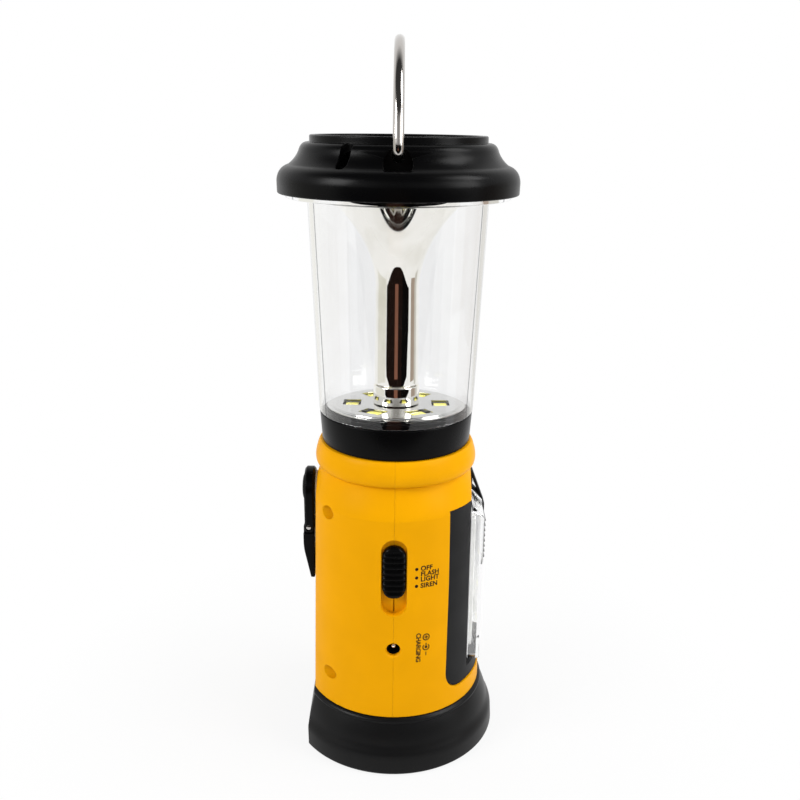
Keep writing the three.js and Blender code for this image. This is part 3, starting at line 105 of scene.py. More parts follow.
def eased(corners: Sequence[Sequence[float]], steps: int = 5, closed: bool = False) -> Array:
    """A line through corners (across, up, ease), each corner rounded by an arc that starts that far off.

    With u and v from the arc's centre to its ends and f the angle between them, the arc at share s is
    (sin((1 - s) f) u + sin(s f) v) / sin f.

    Args:
        corners: rows of two coordinates and the length taken off each side of the corner.
        steps: stretches in each rounded corner.
        closed: whether the last corner joins the first.

    Returns:
        An array with one point a row.
    """
    table = np.asarray(corners, float)
    points, eases = table[:, :2], table[:, 2]
    before, after = np.roll(points, 1, axis=0), np.roll(points, -1, axis=0)
    share = np.linspace(0.0, 1.0, steps + 1)[:, None]
    line: list[Array] = []
    for i, (point, ease) in enumerate(zip(points, eases)):
        back, ahead = before[i] - point, after[i] - point
        lengths = np.linalg.norm(back), np.linalg.norm(ahead)
        end = not closed and i in (0, len(points) - 1)
        if end or ease <= 0 or min(lengths) < NEAR_ZERO:
            line.append(point[None])
            continue
        back, ahead = back / lengths[0], ahead / lengths[1]
        inner = math.acos(float(np.clip(back @ ahead, -1, 1)))
        if inner > math.radians(179):
            line.append(point[None])
            continue
        off = min(ease, 0.49 * min(lengths))
        middle = (back + ahead) / np.linalg.norm(back + ahead)
        centre = point + middle * off / math.cos(inner / 2)
        span = math.pi - inner
        first, last = point + back * off - centre, point + ahead * off - centre
        swing = np.sin((1 - share) * span) * first + np.sin(share * span) * last
        line.append(centre + swing / math.sin(span))
    return np.concatenate(line)


def circle(radius: float, centre: Sequence[float] = (0.0, 0.0), sides: int = 64) -> Array:
    """An outline: the radius turned once round the centre."""
    turn = np.linspace(0.0, 2 * math.pi, sides, endpoint=False)
    return np.stack([centre[0] + radius * np.cos(turn), centre[1] + radius * np.sin(turn)], axis=-1)


def box_outline(left: float, right: float, low: float, high: float, corner: float, steps: int = 8) -> Array:
    """An outline: a rectangle with eased corners."""
    corners = [(left, low, corner), (right, low, corner), (right, high, corner), (left, high, corner)]
    return eased(corners, steps=steps, closed=True)


def stadium(half_width: float, low: float, high: float, sides: int = 64) -> Array:
    """An outline: two half circles with straight sides between them.

    Args:
        half_width: the circles' radius.
        low: where the outline starts.
        high: where it ends.
        sides: points once round.

    Returns:
        An array with one point a row.
    """
    turn = np.linspace(0.0, 2 * math.pi, sides, endpoint=False)
    up = np.where(np.sin(turn) >= 0, high - half_width, low + half_width)
    return np.stack([half_width * np.cos(turn), up + half_width * np.sin(turn)], axis=-1)


def belt(circles: Sequence[Sequence[float]], sides: int = 144) -> Array:
    """An outline: in each direction the point of the circle that reaches furthest.

    Args:
        circles: rows of (across, up, radius).
        sides: points once round.

    Returns:
        An array with one point a row.
    """
    turn = np.linspace(0.0, 2 * math.pi, sides, endpoint=False)
    way = np.stack([np.cos(turn), np.sin(turn)], axis=-1)
    table = np.asarray(circles, float)
    furthest = np.argmax(way @ table[:, :2].T + table[:, 2], axis=1)
    return table[furthest, :2] + table[furthest, 2:] * way


def inset(outline: Array, depth: float) -> Array:
    """An outline moved inwards along the mean of the normals of the two sides at each point.

    The move is the depth over the cosine between the mean and a side, and at most twice the depth.

    Args:
        outline: points once round, either way.
        depth: how far each side moves.

    Returns:
        The moved points, in the same order.
    """
    ahead = np.roll(outline, -1, axis=0) - outline
    ahead = ahead / np.maximum(np.linalg.norm(ahead, axis=1, keepdims=True), NEAR_ZERO)
    back = np.roll(ahead, 1, axis=0)
    mean = ahead + back
    mean = mean / np.maximum(np.linalg.norm(mean, axis=1, keepdims=True), NEAR_ZERO)
    following = np.roll(outline, -1, axis=0)
    area = np.sum(outline[:, 0] * following[:, 1] - following[:, 0] * outline[:, 1])
    inward = np.stack([-mean[:, 1], mean[:, 0]], axis=-1) * np.sign(area)
    stretch = 1 / np.maximum(np.abs(np.sum(mean * ahead, axis=1, keepdims=True)), 0.5)
    return outline + inward * depth * stretch


def grid_faces(rows: int, columns: int, wrap_rows: bool, wrap_columns: bool) -> Array:
    """The four-sided faces of a grid.

    Args:
        rows: rows of points.
        columns: points in a row.
        wrap_rows: whether the last row joins the first.
        wrap_columns: whether each row's last point joins its first.

    Returns:
        Four corner numbers a row, counted row by row.
    """
    row = np.arange(rows if wrap_rows else rows - 1)
    column = np.arange(columns if wrap_columns else columns - 1)
    low, left = np.meshgrid(row, column, indexing="ij")
    high, right = (low + 1) % rows, (left + 1) % columns
    corners = [low * columns + left, low * columns + right, high * columns + right, high * columns + left]
    return np.stack(corners, axis=-1).reshape(-1, 4)


# Meshes from the arrays


def linked(name: str, data: bpy.types.ID) -> Object:
    """A new object with the given data, linked to the scene.

    Args:
        name: the object's name.
        data: its mesh, curve, lamp or camera.

    Returns:
        The object.
    """
    piece = bpy.data.objects.new(name, data)
    bpy.context.scene.collection.objects.link(piece)
    return piece


def make(name: str, points: Array, faces: list[list[int]], solid: bool = True) -> Object:
    """A mesh object at the origin from points in millimetres.

    Args:
        name: the piece's name.
        points: rows of X, Y, Z.
        faces: corner numbers of each face.
        solid: whether doubles are merged and the faces turned outwards.

    Returns:
        The object, linked to the scene, smooth but for its sharp edges.
    """
    mesh = bpy.data.meshes.new(name)
    mesh.from_pydata((points.reshape(-1, 3) * MM).tolist(), [], faces)
    piece = linked(name, mesh)
    if solid:
        close(mesh)
    shade(piece)
    return piece


def close(mesh: bpy.types.Mesh) -> None:
    """Merges doubles, drops faces without area and turns the rest outwards.

    Args:
        mesh: the mesh, changed in place.
    """
    work = bmesh.new()
    work.from_mesh(mesh)
    bmesh.ops.remove_doubles(work, verts=work.verts, dist=WELD)
    bmesh.ops.dissolve_degenerate(work, edges=work.edges, dist=WELD)
    bmesh.ops.recalc_face_normals(work, faces=work.faces)
    if work.calc_volume(signed=True) < 0:
        bmesh.ops.reverse_faces(work, faces=work.faces)
    work.to_mesh(mesh)
    work.free()


def shade(piece: Object, angle: float = 32.0) -> None:
    """Smooth faces, with the edges past the angle kept sharp.

    Args:
        piece: the mesh object, changed in place.
        angle: the angle between two faces, in degrees.
    """
    piece.data.polygons.foreach_set("use_smooth", np.ones(len(piece.data.polygons), bool))
    piece.data.set_sharp_from_angle(angle=math.radians(angle))
    piece.data.update()


def put(local: Array, axis: Axis, at: Place = (0.0, 0.0, 0.0)) -> Array:
    """Points of (across, up, along) laid on the axis and moved to their place."""
    return local[..., list(axis.value)] + np.asarray(at, float)


def turned(name: str, profile: Array, sides: int = 160, axis: Axis = Axis.Z, at: Place = (0.0, 0.0, 0.0),
           flat: Array | None = None, chord: int = 6) -> Object:
    """A profile of (radius, along) turned about an axis, with a flat on its far side where one is given.

    Each row is the circle (r cos a, r sin a). With a flat at distance f the circle runs to the angle
    whose cosine is -f / r, and a straight chord closes it.

    Args:
        name: the piece's name.
        profile: a closed loop, or a line from the axis to the axis.
        sides: points round the circle.
        axis: the axis it is turned about.
        at: where the axis passes and the profile's zero lies.
        flat: the distance of the flat from the axis, one for each profile point.
        chord: points on the flat's chord.

    Returns:
        The closed mesh object.
    """
    radius, along = profile[:, 0], profile[:, 1]
    if flat is None:
        turn = np.broadcast_to(np.linspace(0, 2 * math.pi, sides, endpoint=False), (len(radius), sides))
        across, up = radius[:, None] * np.cos(turn), radius[:, None] * np.sin(turn)
    else:
        gap = np.arccos(np.clip(flat / np.maximum(radius, 1e-6), -1, 1)) * (flat < radius)
        turn = np.linspace(-1, 1, sides)[None] * (math.pi - gap)[:, None]
        edge_across, edge_up = radius * np.cos(math.pi - gap), radius * np.sin(math.pi - gap)
        share = np.linspace(1, -1, chord + 2)[1:-1]
        chord_across = np.repeat(edge_across[:, None], chord, 1)
        across = np.concatenate([radius[:, None] * np.cos(turn), chord_across], 1)
        up = np.concatenate([radius[:, None] * np.sin(turn), edge_up[:, None] * share[None]], 1)
    local = np.stack([across, up, np.broadcast_to(along[:, None], across.shape)], axis=-1)
    loop = not (radius[0] < NEAR_ZERO and radius[-1] < NEAR_ZERO)
    faces = grid_faces(*local.shape[:2], loop, True).tolist()
    return make(name, put(local, axis, at), faces)


def lofted(name: str, rings: Array) -> Object:
    """Closed rings of points joined one to the next, the first and last closed by a face.

    Args:
        name: the piece's name.
        rings: a row for each ring, a column for each of its points, then X, Y, Z.

    Returns:
        The closed mesh object.
    """
    count, around = rings.shape[:2]
    faces = grid_faces(count, around, False, True).tolist()
    faces += [list(range(around))[::-1], list(range((count - 1) * around, count * around))]
    return make(name, rings, faces)


def slab(name: str, outline: Array, low: float, high: float, edge: float = 0.0, axis: Axis = Axis.Z,
         at: Place = (0.0, 0.0, 0.0), steps: int = 3) -> Object:
    """An outline extruded along an axis, its two rims rounded by a quarter circle of the edge's radius.

    Args:
        name: the piece's name.
        outline: points in (across, up), once round.
        low: where the piece starts along the axis.
        high: where it ends.
        edge: the radius of the rims.
        axis: the way it is extruded.
        at: an offset for the whole piece.
        steps: stretches in each rim.

    Returns:
        The closed mesh object.
    """
    if edge > 0:
        turn = np.linspace(0, math.pi / 2, steps + 1)
        depths = edge * (1 - np.sin(turn))
        heights = edge * (1 - np.cos(turn))
        levels = list(zip(depths, low + heights)) + list(zip(depths[::-1], high - heights[::-1]))
    else:
        levels = [(0.0, low), (0.0, high)]
    rings = [np.column_stack([inset(outline, depth), np.full(len(outline), height)])
             for depth, height in levels]
    return lofted(name, put(np.stack(rings), axis, at))


def sector(name: str, heights: Array, half_turn: Array, inner: Array, outer: Array, shares: Array) -> Object:
    """A wall that stands on an arc about Z and faces +X, closed at both ends.

    Each height has one ring: out along the outer radius from one side to the other, and back along the
    inner one. The angles of a ring are its half turn times the shares, which may differ from row to row.

    Args:
        name: the piece's name.
        heights: Z of each row.
        half_turn: half the angle that the row spans, in radians.
        inner: inner radius, a row for each height and a column for each share.
        outer: outer radius, likewise.
        shares: from -1 to 1, likewise.

    Returns:
        The closed mesh object.
    """
    turn = half_turn[:, None] * shares
    rows = heights[:, None] + 0 * turn
    front, back = [np.stack([radius * np.cos(turn), radius * np.sin(turn), rows], axis=-1)
                   for radius in (outer, inner)]
    return lofted(name, np.concatenate([front, back[:, ::-1]], axis=1))


def swept(name: str, path: Array, radius: Array, side: Sequence[float], sides: int = 24) -> Object:
    """A round bar along a flat path: at each point a circle in the plane across the path.

    Args:
        name: the piece's name.
        path: rows of X, Y, Z.
        radius: the bar's radius at each point; it may shrink to close an end.
        side: the direction at right angles to the plane that the path lies in.
        sides: points round the bar.

    Returns:
        The closed mesh object.
    """
    along = np.gradient(path, axis=0)
    along /= np.linalg.norm(along, axis=1, keepdims=True)
    out = np.cross(along, np.asarray(side, float))
    turn = np.linspace(0, 2 * math.pi, sides, endpoint=False)
    ring = out[:, None] * np.cos(turn)[None, :, None] + np.asarray(side, float) * np.sin(turn)[None, :, None]
    return lofted(name, path[:, None] + radius[:, None, None] * ring)


def rod(name: str, radius: float, low: float, high: float, axis: Axis, at: Place, edge: float = 0.0,
        sides: int = 64) -> Object:
    """A round bar or disc along an axis."""
    return slab(name, circle(radius, sides=sides), low, high, edge, axis, at)


def block(name: str, low: Place, high: Place, edge: float = 0.0) -> Object:
    """A box between two corners, its upright edges and rims rounded where an edge is given."""
    outline = box_outline(low[0], high[0], low[1], high[1], 2 * edge)
    return slab(name, outline, low[2], high[2], edge)


def joined(name: str, pieces: Sequence[Object]) -> Object:
    """The meshes of several pieces in one object.

    Args:
        name: the new piece's name.
        pieces: what goes into it; they are taken out of the file.

    Returns:
        The new piece.
    """
    work = bmesh.new()
    for piece in pieces:
        work.from_mesh(piece.data)
    mesh = bpy.data.meshes.new(name)
    work.to_mesh(mesh)
    work.free()
    for piece in pieces:
        discard(piece)
    whole = linked(name, mesh)
    shade(whole)
    return whole


def discard(piece: Object) -> None:
    """Takes a piece and its mesh out of the file.

    Args:
        piece: what goes.
    """
    mesh = piece.data
    bpy.data.objects.remove(piece)
    bpy.data.meshes.remove(mesh)


def worked(piece: Object, cut: Cut, *tools: Object) -> Object:
    """The piece after a boolean with the tools taken together.

    Args:
        piece: what is worked on; it keeps its name and gets a new mesh.
        cut: what the tools do.
        tools: closed pieces that don't cross each other; they are taken out of the file.

    Returns:
        The piece.
    """
    tool = tools[0] if len(tools) == 1 else joined(piece.name + "_tool", tools)
    step = piece.modifiers.new("work", "BOOLEAN")
    step.operation = cut.value
    step.solver = "EXACT"
    step.object = tool
    bpy.context.view_layer.update()
    evaluated = piece.evaluated_get(bpy.context.evaluated_depsgraph_get())
    mesh = bpy.data.meshes.new_from_object(evaluated)
    piece.modifiers.clear()
    old, piece.data = piece.data, mesh
    bpy.data.meshes.remove(old)
    discard(tool)
    shade(piece)
    return piece


def copied(piece: Object, name: str) -> Object:
    """A second object with its own copy of the mesh."""
    return linked(name, piece.data.copy())


# Materials


class Graph:
    """A node tree with short calls to add nodes and to join them."""

    def __init__(self, tree: Tree) -> None:
        """Takes the tree that the nodes go into."""
        self.tree = tree

    def node(self, kind: str, values: dict[str | int, object] | None = None, **settings: object) -> Node:
        """Adds a node.

        Args:
            kind: the node's type, without its leading ShaderNode.
            values: for each input, a number or colour, or the output that feeds it.
            settings: the node's own properties.

        Returns:
            The node.
        """
        made = self.tree.nodes.new("ShaderNode" + kind)
        for name, value in settings.items():
            setattr(made, name, value)
        for name, value in (values or {}).items():
            self.feed(made.inputs[name], value)
        return made

    def feed(self, socket: Socket, value: object) -> None:
        """Links an output to the socket, or sets the socket's own value.

        Args:
            socket: the input to fill.
            value: an output, a number or a colour of three parts.
        """
        if isinstance(value, Socket):
            self.tree.links.new(value, socket)
        elif isinstance(value, tuple) and socket.type == "RGBA" and len(value) == 3:
            socket.default_value = (*value, 1.0)
        else:
            socket.default_value = value

    def maths(self, operation: str, *values: object, clamp: bool = False) -> Socket:
        """The output of a Math node on the given numbers or outputs."""
        return self.node("Math", dict(enumerate(values)), operation=operation, use_clamp=clamp).outputs[0]

    def blend(self, share: object, first: object, second: object) -> Socket:
        """The colour between two colours at the given share."""
        made = self.node("Mix", {0: share, 6: first, 7: second}, data_type="RGBA")
        return made.outputs[2]

    def ramp(self, value: object, low: float, high: float, start: float, stop: float) -> Socket:
        """The value carried from one range to another and kept inside it."""
        names = ("Value", "From Min", "From Max", "To Min", "To Max")
        return self.node("MapRange", dict(zip(names, (value, low, high, start, stop)))).outputs["Result"]

    def noise(self, where: object, scale: object, detail: float = 2.0) -> Socket:
        """Noise from 0 to 1 at the given coordinates."""
        values = {"Vector": where, "Scale": scale, "Detail": detail}
        return self.node("TexNoise", values).outputs["Fac"]

    def bump(self, height: object, distance: float, strength: float, **more: object) -> Socket:
        """The normal tilted by a height, which the distance scales."""
        values = {"Strength": strength, "Distance": distance, "Height": height, **more}
        return self.node("Bump", values).outputs["Normal"]

    def either_seen(self, path: Node) -> Socket:
        """One for rays from the eye, off a mirror or through glass, else zero."""
        indirect = self.maths("MAXIMUM", path.outputs["Is Glossy Ray"], path.outputs["Is Transmission Ray"])
        return self.maths("MAXIMUM", path.outputs["Is Camera Ray"], indirect)

    def finish(self, surface: Socket, kind: str = "OutputMaterial") -> None:
        """Ends the tree in the given shader."""
        self.feed(self.node(kind).inputs["Surface"], surface)


def blank(owner: bpy.types.Material | bpy.types.World) -> Graph:
    """The emptied node tree of a new material or world.

    Args:
        owner: the material or world.

    Returns:
        Its tree, ready for nodes.
    """
    owner.use_nodes = True
    owner.node_tree.nodes.clear()
    return Graph(owner.node_tree)


def group(name: str, inputs: dict[str, float], outputs: dict[str, str],
          fill: Callable[[Graph, Node], dict[str, Socket]]) -> Tree:
    """A node group, built the first time it is asked for.

    Args:
        name: the group's name.
        inputs: its number inputs and their defaults.
        outputs: its outputs and their socket types.
        fill: adds the nodes between, given the graph and the node that holds the inputs.

    Returns:
        The group's tree.
    """
    if name in bpy.data.node_groups:
        return bpy.data.node_groups[name]
    tree = bpy.data.node_groups.new(name, "ShaderNodeTree")
    for label, default in inputs.items():
        socket = tree.interface.new_socket(label, in_out="INPUT", socket_type="NodeSocketFloat")
        socket.default_value = default
    for label, kind in outputs.items():
        tree.interface.new_socket(label, in_out="OUTPUT", socket_type=kind)
    source, sink = tree.nodes.new("NodeGroupInput"), tree.nodes.new("NodeGroupOutput")
    for label, socket in fill(Graph(tree), source).items():
        tree.links.new(socket, sink.inputs[label])
    return tree


def grain_group() -> Tree:
    """Moulded grain: fine noise for the bump, and broad noise for slow changes of colour and gloss."""

    def fill(graph: Graph, source: Node) -> dict[str, Socket]:
        """Adds the noise at both scales.

        Args:
            graph: the group's nodes.
            source: the node that holds its inputs.

        Returns:
            What each output gives.
        """
        where = graph.node("TexCoord").outputs["Object"]
        fine = graph.noise(where, source.outputs["Fine Scale"], 3.0)
        broad = graph.noise(where, source.outputs["Broad Scale"], 2.0)
        return {"Height": fine, "Mottle": graph.ramp(broad, 0.35, 0.65, 0.0, 1.0)}

    return group("moulded_grain", {"Fine Scale": 3000.0, "Broad Scale": 60.0},
                 {"Height": "NodeSocketFloat", "Mottle": "NodeSocketFloat"}, fill)


def edge_group() -> Tree:
    """Rubbed edges: the rounded normal, and how far it leans from the face, broken up by noise."""

    def fill(graph: Graph, source: Node) -> dict[str, Socket]:
        """Adds the lean of the rounded normal and its patches.

        Args:
            graph: the group's nodes.
            source: the node that holds its inputs.

        Returns:
            What each output gives.
        """
        rounded = graph.node("Bevel", {"Radius": source.outputs["Radius"]}, samples=4).outputs["Normal"]
        face = graph.node("NewGeometry").outputs["Normal"]
        lean = graph.node("VectorMath", {0: rounded, 1: face}, operation="DOT_PRODUCT").outputs["Value"]
        turned_away = graph.ramp(graph.maths("SUBTRACT", 1.0, lean), 0.02, 0.2, 0.0, 1.0)
        where = graph.node("TexCoord").outputs["Object"]
        patches = graph.ramp(graph.noise(where, source.outputs["Scale"], 4.0), 0.4, 0.62, 0.15, 1.0)
        patchy = graph.maths("MULTIPLY", turned_away, patches)
        return {"Mask": graph.maths("MULTIPLY", patchy, source.outputs["Amount"]), "Normal": rounded}

    return group("rubbed_edge", {"Radius": 0.0003, "Scale": 400.0, "Amount": 0.5},
                 {"Mask": "NodeSocketFloat", "Normal": "NodeSocketVector"}, fill)


def dust_group() -> Tree:
    """Settled dust: strongest where the surface looks up, in soft patches with fine specks."""

    def fill(graph: Graph, source: Node) -> dict[str, Socket]:
        """Adds the share that looks up and its patches.

        Args:
            graph: the group's nodes.
            source: the node that holds its inputs.

        Returns:
            What each output gives.
        """
        face = graph.node("NewGeometry").outputs["Normal"]
        up = graph.node("SeparateXYZ", {0: face}).outputs["Z"]
        where = graph.node("TexCoord").outputs["Object"]
        patches = graph.ramp(graph.noise(where, source.outputs["Scale"], 5.0), 0.4, 0.7, 0.0, 1.0)
        lying = graph.maths("MULTIPLY", graph.ramp(up, 0.5, 1.0, 0.05, 1.0), patches)
        return {"Mask": graph.maths("MULTIPLY", lying, source.outputs["Amount"])}

    return group("settled_dust", {"Scale": 500.0, "Amount": 0.1}, {"Mask": "NodeSocketFloat"}, fill)


def flow_group() -> Tree:
    """Flow lines: noise drawn out along Z, as left by drawing a wire or filling a tall mould."""

    def fill(graph: Graph, source: Node) -> dict[str, Socket]:
        """Adds the drawn noise and the smudges.

        Args:
            graph: the group's nodes.
            source: the node that holds its inputs.

        Returns:
            What each output gives.
        """
        where = graph.node("TexCoord").outputs["Object"]
        drawn = graph.node("Mapping", {"Vector": where, "Scale": (1.0, 1.0, 0.04)}).outputs["Vector"]
        lines = graph.noise(drawn, source.outputs["Scale"], 3.0)
        smudges = graph.noise(where, 90.0, 3.0)
        return {"Height": lines, "Smudge": graph.ramp(smudges, 0.45, 0.75, 0.0, 1.0)}

    return group("flow_lines", {"Scale": 300.0}, {"Height": "NodeSocketFloat", "Smudge": "NodeSocketFloat"},
                 fill)


def placed(graph: Graph, tree: Tree, **values: float) -> Node:
    """A group set into a material.

    Args:
        graph: the material's nodes.
        tree: the group.
        values: its inputs, their names in small letters with _ for a space.

    Returns:
        The group's node.
    """
    node = graph.node("Group")
    node.node_tree = tree
    for name, value in values.items():
        node.inputs[name.replace("_", " ").title()].default_value = value
    return node


@dataclass(frozen=True)
class Finish:
    """What all finishes share: a name for the material and the name of the slot that it belongs to."""

    name: str
    slot: str

    def material(self) -> bpy.types.Material:
        """The material, made the first time it is asked for."""
        if self.name in bpy.data.materials:
            return bpy.data.materials[self.name]
        made = bpy.data.materials.new(self.name)
        graph = blank(made)
        graph.finish(self.surface(graph))
        return made

    def surface(self, graph: Graph) -> Socket:
        """The shader that the finish ends in."""
        raise NotImplementedError


@dataclass(frozen=True)
class Plastic(Finish):
    """Moulded plastic: satin skin with fine grain, rubbed edges and a little dust."""

    colour: Colour = (0.8, 0.8, 0.8)
    worn: Colour = (0.9, 0.9, 0.9)
    roughness: float = 0.35
    mottle: float = 0.06
    grain: float = 2600.0
    grain_depth: float = 0.00003
    edge_radius: float = 0.00035
    wear: float = 0.4
    dust: float = 0.06
    coat: float = 0.0
    mirror: float = 0.5

    def surface(self, graph: Graph) -> Socket:
        """A Principled shader with grain in its bump and wear and dust in its colour and roughness."""
        grain = placed(graph, grain_group(), fine_scale=self.grain, broad_scale=70.0)
        edge = placed(graph, edge_group(), radius=self.edge_radius, scale=500.0, amount=self.wear)
        dust = placed(graph, dust_group(), scale=900.0, amount=self.dust)
        darker = tuple(part * (1 - self.mottle) for part in self.colour)
        base = graph.blend(grain.outputs["Mottle"], self.colour, darker)
        rubbed = graph.blend(edge.outputs["Mask"], base, self.worn)
        dusty = graph.blend(dust.outputs["Mask"], rubbed, (0.42, 0.41, 0.38))
        gloss = graph.ramp(grain.outputs["Mottle"], 0.0, 1.0, self.roughness - 0.03, self.roughness + 0.04)
        dull = graph.maths("ADD", gloss, graph.maths("MULTIPLY", dust.outputs["Mask"], 0.8), clamp=True)
        bump = graph.bump(grain.outputs["Height"], self.grain_depth, 0.25, Normal=edge.outputs["Normal"])
        values = {"Base Color": dusty, "Roughness": dull, "Normal": bump, "Coat Weight": self.coat,
                  "Coat Roughness": 0.2, "IOR": 1.5, "Specular IOR Level": self.mirror}
        return graph.node("BsdfPrincipled", values).outputs["BSDF"]


@dataclass(frozen=True)
class Metal(Finish):
    """Plated or metallised skin with flow lines and faint smudges."""

    colour: Colour = (0.9, 0.9, 0.9)
    smudged: Colour = (0.8, 0.8, 0.8)
    roughness: float = 0.05
    lines: float = 400.0
    line_depth: float = 0.000002

    def surface(self, graph: Graph) -> Socket:
        """A metallic Principled shader, duller where it is smudged."""
        flow = placed(graph, flow_group(), scale=self.lines)
        base = graph.blend(flow.outputs["Smudge"], self.colour, self.smudged)
        gloss = graph.ramp(flow.outputs["Smudge"], 0.0, 1.0, self.roughness, self.roughness + 0.05)
        bump = graph.bump(flow.outputs["Height"], self.line_depth, 0.3)
        values = {"Base Color": base, "Metallic": 1.0, "Roughness": gloss, "Normal": bump}
        return graph.node("BsdfPrincipled", values).outputs["BSDF"]


@dataclass(frozen=True)
class Clear(Finish):
    """Clear moulded plastic, which lets lamp light through to what it covers."""

    tint: Colour = (0.972, 0.974, 0.976)
    # the colour of the painted shade at the outline and of the painted dark line inside it
    edge: Colour = (0.972, 0.974, 0.976)
    roughness: float = 0.02
    ripple: float = 0.00001
    lines: float = 260.0
    line_facing: float = 0.648
    line_half: float = 0.012

    def surface(self, graph: Graph) -> Socket:
        """A transmitting Principled shader, open to rays that ask for shade or that a mirror has turned.

        Where it has an edge colour, that colour is painted shade: it darkens the outline as the face turns
        edge-on, and paints a fine dark line where the wall's inner side would end, which the eye alone sees.
        """
        flow = placed(graph, flow_group(), scale=self.lines)
        scuffed = tuple(part * 0.98 for part in self.tint)
        edge_on = graph.node("LayerWeight", {"Blend": 0.5}).outputs["Facing"]
        plain = graph.blend(flow.outputs["Smudge"], self.tint, scuffed)
        path = graph.node("LightPath")
        # painted shade: a dark band at one facing value, for camera rays only, stands for the line where the
        # wall's inner side ends
        painted_line_band = graph.maths("COMPARE", edge_on, self.line_facing, self.line_half)
        painted_inner_line = graph.maths("MULTIPLY", painted_line_band, path.outputs["Is Camera Ray"])
        # painted shade: the outline darkens as the face turns edge-on
        rim = graph.maths("MAXIMUM", graph.ramp(edge_on, 0.8, 0.95, 0.0, 1.0), painted_inner_line)
        base = graph.blend(rim, plain, self.edge)
        gloss = graph.ramp(flow.outputs["Smudge"], 0.0, 1.0, self.roughness, self.roughness + 0.03)
        bump = graph.bump(flow.outputs["Height"], self.ripple, 0.3)
        values = {"Base Color": base, "Roughness": gloss, "IOR": 1.49, "Transmission Weight": 1.0,
                  "Normal": bump}
        glass = graph.node("BsdfPrincipled", values).outputs["BSDF"]
        opened = graph.node("BsdfTransparent", {"Color": (0.99, 0.99, 0.99)}).outputs["BSDF"]
        turned_back = graph.maths("GREATER_THAN", path.outputs["Glossy Depth"], 0.5)
        asked = graph.maths("MAXIMUM", path.outputs["Is Shadow Ray"], turned_back)
        return graph.node("MixShader", {0: asked, 1: glass, 2: opened}).outputs["Shader"]


@dataclass(frozen=True)
class Phosphor(Finish):
    """The yellow gel over a light-emitting chip, mottled with a paler yellow."""

    colour: Colour = (0.86, 0.76, 0.03)
    pale: Colour = (0.93, 0.88, 0.2)

    def surface(self, graph: Graph) -> Socket:
        """A glossy Principled shader with a fine crystalline mottle."""
        grain = placed(graph, grain_group(), fine_scale=6000.0, broad_scale=900.0)
        base = graph.blend(grain.outputs["Mottle"], self.colour, self.pale)
        bump = graph.bump(grain.outputs["Height"], 0.00001, 0.2)
        values = {"Base Color": base, "Roughness": 0.22, "Normal": bump}
        return graph.node("BsdfPrincipled", values).outputs["BSDF"]


@dataclass(frozen=True)
class Board(Finish):
    """Solder mask over copper tracks: stepped noise marks the tracks."""

    mask: Colour = (0.02, 0.2, 0.08)
    track: Colour = (0.05, 0.33, 0.13)

    def surface(self, graph: Graph) -> Socket:
        """A satin Principled shader with raised tracks."""
        where = graph.node("TexCoord").outputs["Object"]
        cells = graph.node("TexVoronoi", {"Vector": where, "Scale": 260.0}, feature="DISTANCE_TO_EDGE")
        lines = graph.ramp(cells.outputs["Distance"], 0.05, 0.09, 1.0, 0.0)
        base = graph.blend(lines, self.mask, self.track)
        bump = graph.bump(lines, 0.00004, 0.4)
        values = {"Base Color": base, "Roughness": 0.42, "Normal": bump}
        return graph.node("BsdfPrincipled", values).outputs["BSDF"]


YELLOW = Plastic("satin_yellow_shell", "yellow_plastic", colour=(0.79, 0.352, 0.0003),
                 worn=(0.88, 0.43, 0.01), roughness=0.38, mottle=0.04, grain=1900.0, grain_depth=0.00002,
                 wear=0.3, dust=0.0, mirror=0.04)
BLACK = Plastic("satin_black_moulding", "black_plastic", colour=(0.0045, 0.0045, 0.0047),
                worn=(0.03, 0.03, 0.031), roughness=0.34, mottle=0.25, grain_depth=0.00002, wear=0.5,
                dust=0.004, mirror=0.14)
GLOSS_BLACK = Plastic("polished_black_moulding", "black_plastic", colour=(0.0016, 0.0016, 0.0018),
                      worn=(0.02, 0.02, 0.021), roughness=0.28, mottle=0.2, grain_depth=0.00001, wear=0.5,
                      dust=0.002, mirror=0.08)
MATT_BLACK = Plastic("matt_black_moulding", "black_plastic", colour=(0.007, 0.007, 0.0075),
                     worn=(0.035, 0.035, 0.036), roughness=0.5, mottle=0.25, grain=3200.0, dust=0.005,
                     mirror=0.16)
WHITE = Plastic("white_moulding", "white_plastic", colour=(0.74, 0.74, 0.72), worn=(0.8, 0.8, 0.78),
                roughness=0.35, wear=0.1, dust=0.03)
NYLON = Plastic("natural_nylon", "nylon", colour=(0.72, 0.69, 0.58), worn=(0.8, 0.78, 0.7), roughness=0.45,
                wear=0.2, dust=0.0)
SLEEVE = Plastic("cell_sleeve", "cell_sleeve", colour=(0.03, 0.28, 0.12), worn=(0.3, 0.4, 0.32),
                 roughness=0.3, dust=0.0, coat=0.3)
INK = Plastic("pad_print_ink", "black_plastic", colour=(0.02, 0.01, 0.004), worn=(0.03, 0.02, 0.01),
              roughness=0.5, wear=0.0, dust=0.0, mirror=0.1)
CHROME = Metal("vacuum_chrome", "mirror_chrome", colour=(0.965, 0.948, 0.9), smudged=(0.86, 0.84, 0.77),
               roughness=0.03)
SILVER = Metal("silvered_disc", "mirror_chrome", colour=(0.6, 0.6, 0.585), smudged=(0.55, 0.55, 0.535),
               roughness=0.1)
WIRE = Metal("nickel_wire", "chrome_wire", colour=(0.5, 0.475, 0.45), smudged=(0.44, 0.415, 0.39),
             roughness=0.1)
STEEL = Metal("zinc_steel", "steel", colour=(0.5, 0.5, 0.5), smudged=(0.38, 0.38, 0.38), roughness=0.28)
CLEAR = Clear("clear_styrene", "clear_plastic")
